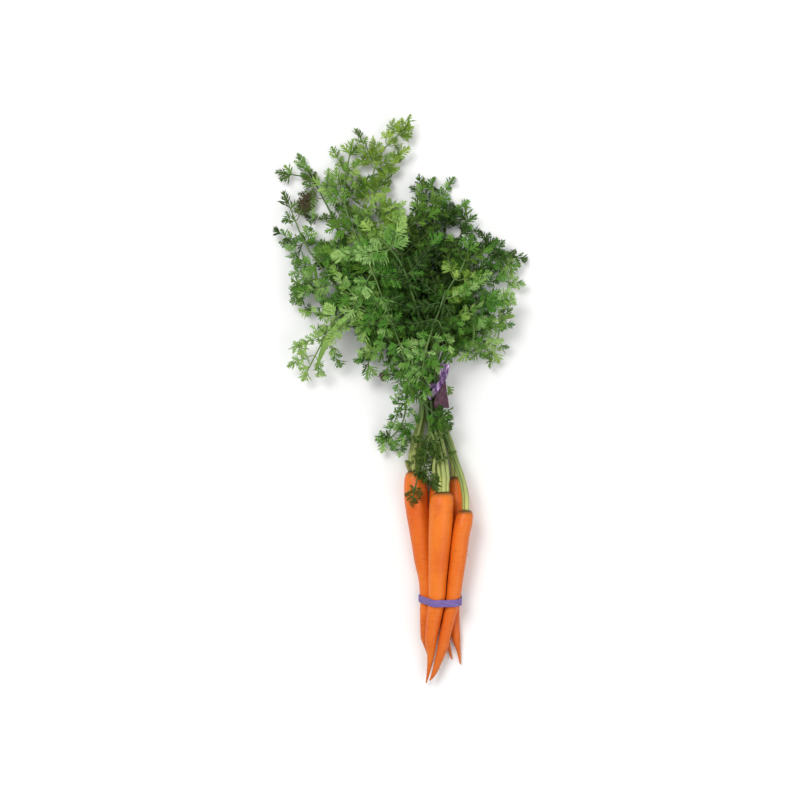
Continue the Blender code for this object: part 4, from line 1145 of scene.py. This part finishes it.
def tie_paints():
    """The shiny foil of the tie, whose pale streaks are painted sheen, and its less shiny flag, a tail of the
    tie painted dark maroon as painted shade.
    """
    # Pale streaks in the foil's colour are painted sheen
    foil = trim_paint("tie_foil_painted_sheen", 0.22, (260, 4, (1, 0.6, 1)), (0.4, 0.62),
                      ((0.10, 0.03, 0.14), (0.42, 0.27, 0.50)), (500, 3), 0.5, Metallic=0.35,
                      Specular_IOR_Level=0.7)
    # The flag is a tail of the tie painted dark maroon as painted shade
    shaded_flag = trim_paint("tie_flag_painted_shade", 0.38, (220, 3, (3, 0.4, 1)), (0.35, 0.75),
                      ((0.04, 0.006, 0.02), (0.11, 0.022, 0.055)), (400, 3), 0.4, Specular_IOR_Level=0.5)
    return [foil, shaded_flag]


def floor_piece():
    mesh = bpy.data.meshes.new("floor")
    mesh.from_pydata([(-3, -3, 0), (3, -3, 0), (3, 3, 0), (-3, 3, 0)], [], [(0, 1, 2, 3)])
    floor = placed("floor", mesh)
    paint = Paint("floor_paper", 0.9, Specular_IOR_Level=0.1)
    mesh.materials.append(paint.finish(paint.mix(paint.noise(6, 2), (0.88, 0.88, 0.875), (0.9, 0.9, 0.895))))


def light(name, place, size, power):
    """A square lamp that points at the middle of the bunch."""
    lamp = bpy.data.lights.new(name, "AREA")
    lamp.size, lamp.energy = size, power
    placed(name, lamp, place).rotation_euler = (-Vector(place)).to_track_quat("-Z", "Y").to_euler()


def studio():
    """Floor, soft lights, white surroundings and the camera straight above."""
    floor_piece()
    light("key", (-0.7, 0.8, 1.9), 0.9, 29)
    light("fill", (1.2, -0.6, 1.8), 1.4, 13)
    world = bpy.data.worlds.new("studio")
    world.use_nodes = True
    back = world.node_tree.nodes["Background"]
    back.inputs["Color"].default_value = (1, 1, 1, 1)
    back.inputs["Strength"].default_value = 0.55
    bpy.context.scene.world = world
    lens = bpy.data.cameras.new("camera")
    lens.sensor_width, lens.lens, lens.clip_end = 36, 90, 10
    bpy.context.scene.camera = placed("camera", lens, (0, 0, 1.83))


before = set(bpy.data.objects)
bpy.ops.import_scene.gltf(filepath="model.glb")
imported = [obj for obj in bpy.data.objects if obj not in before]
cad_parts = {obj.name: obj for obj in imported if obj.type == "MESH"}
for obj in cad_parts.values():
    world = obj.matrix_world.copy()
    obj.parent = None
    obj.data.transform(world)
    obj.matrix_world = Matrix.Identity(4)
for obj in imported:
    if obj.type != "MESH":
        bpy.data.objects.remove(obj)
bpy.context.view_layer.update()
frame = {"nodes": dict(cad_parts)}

leaf_materials = [leaf_paint(), stalk_paint()]
root_material = root_paint()
for root_name, root_rings in ROOTS.items():
    root_piece(root_name, root_rings, root_material)
band_piece(band_paint())
tie_piece(tie_paints())

template_rng = random.Random(SEED)
templates = [leaf_template(template_rng, pairs) for pairs in LEAFLET_PAIRS]
lines, held, slot_at = stalk_lines()
lines = settle(lines, held, slot_at)
fronds = {name: frond_parts(name, lines[name], slot_at[name], templates) for name in FRONDS}
tops = tops_of(fronds.values())
for name, (shape, leaves) in fronds.items():
    leaves.shade_under(tops)
    leaves.add_to(shape)
    shape_floor(shape)
    make_piece(f"{name}_fine", shape, leaf_materials, f"leaf_{FRONDS[name][-1]}", name)

studio()
bpy.context.scene.view_settings.view_transform = "Standard"
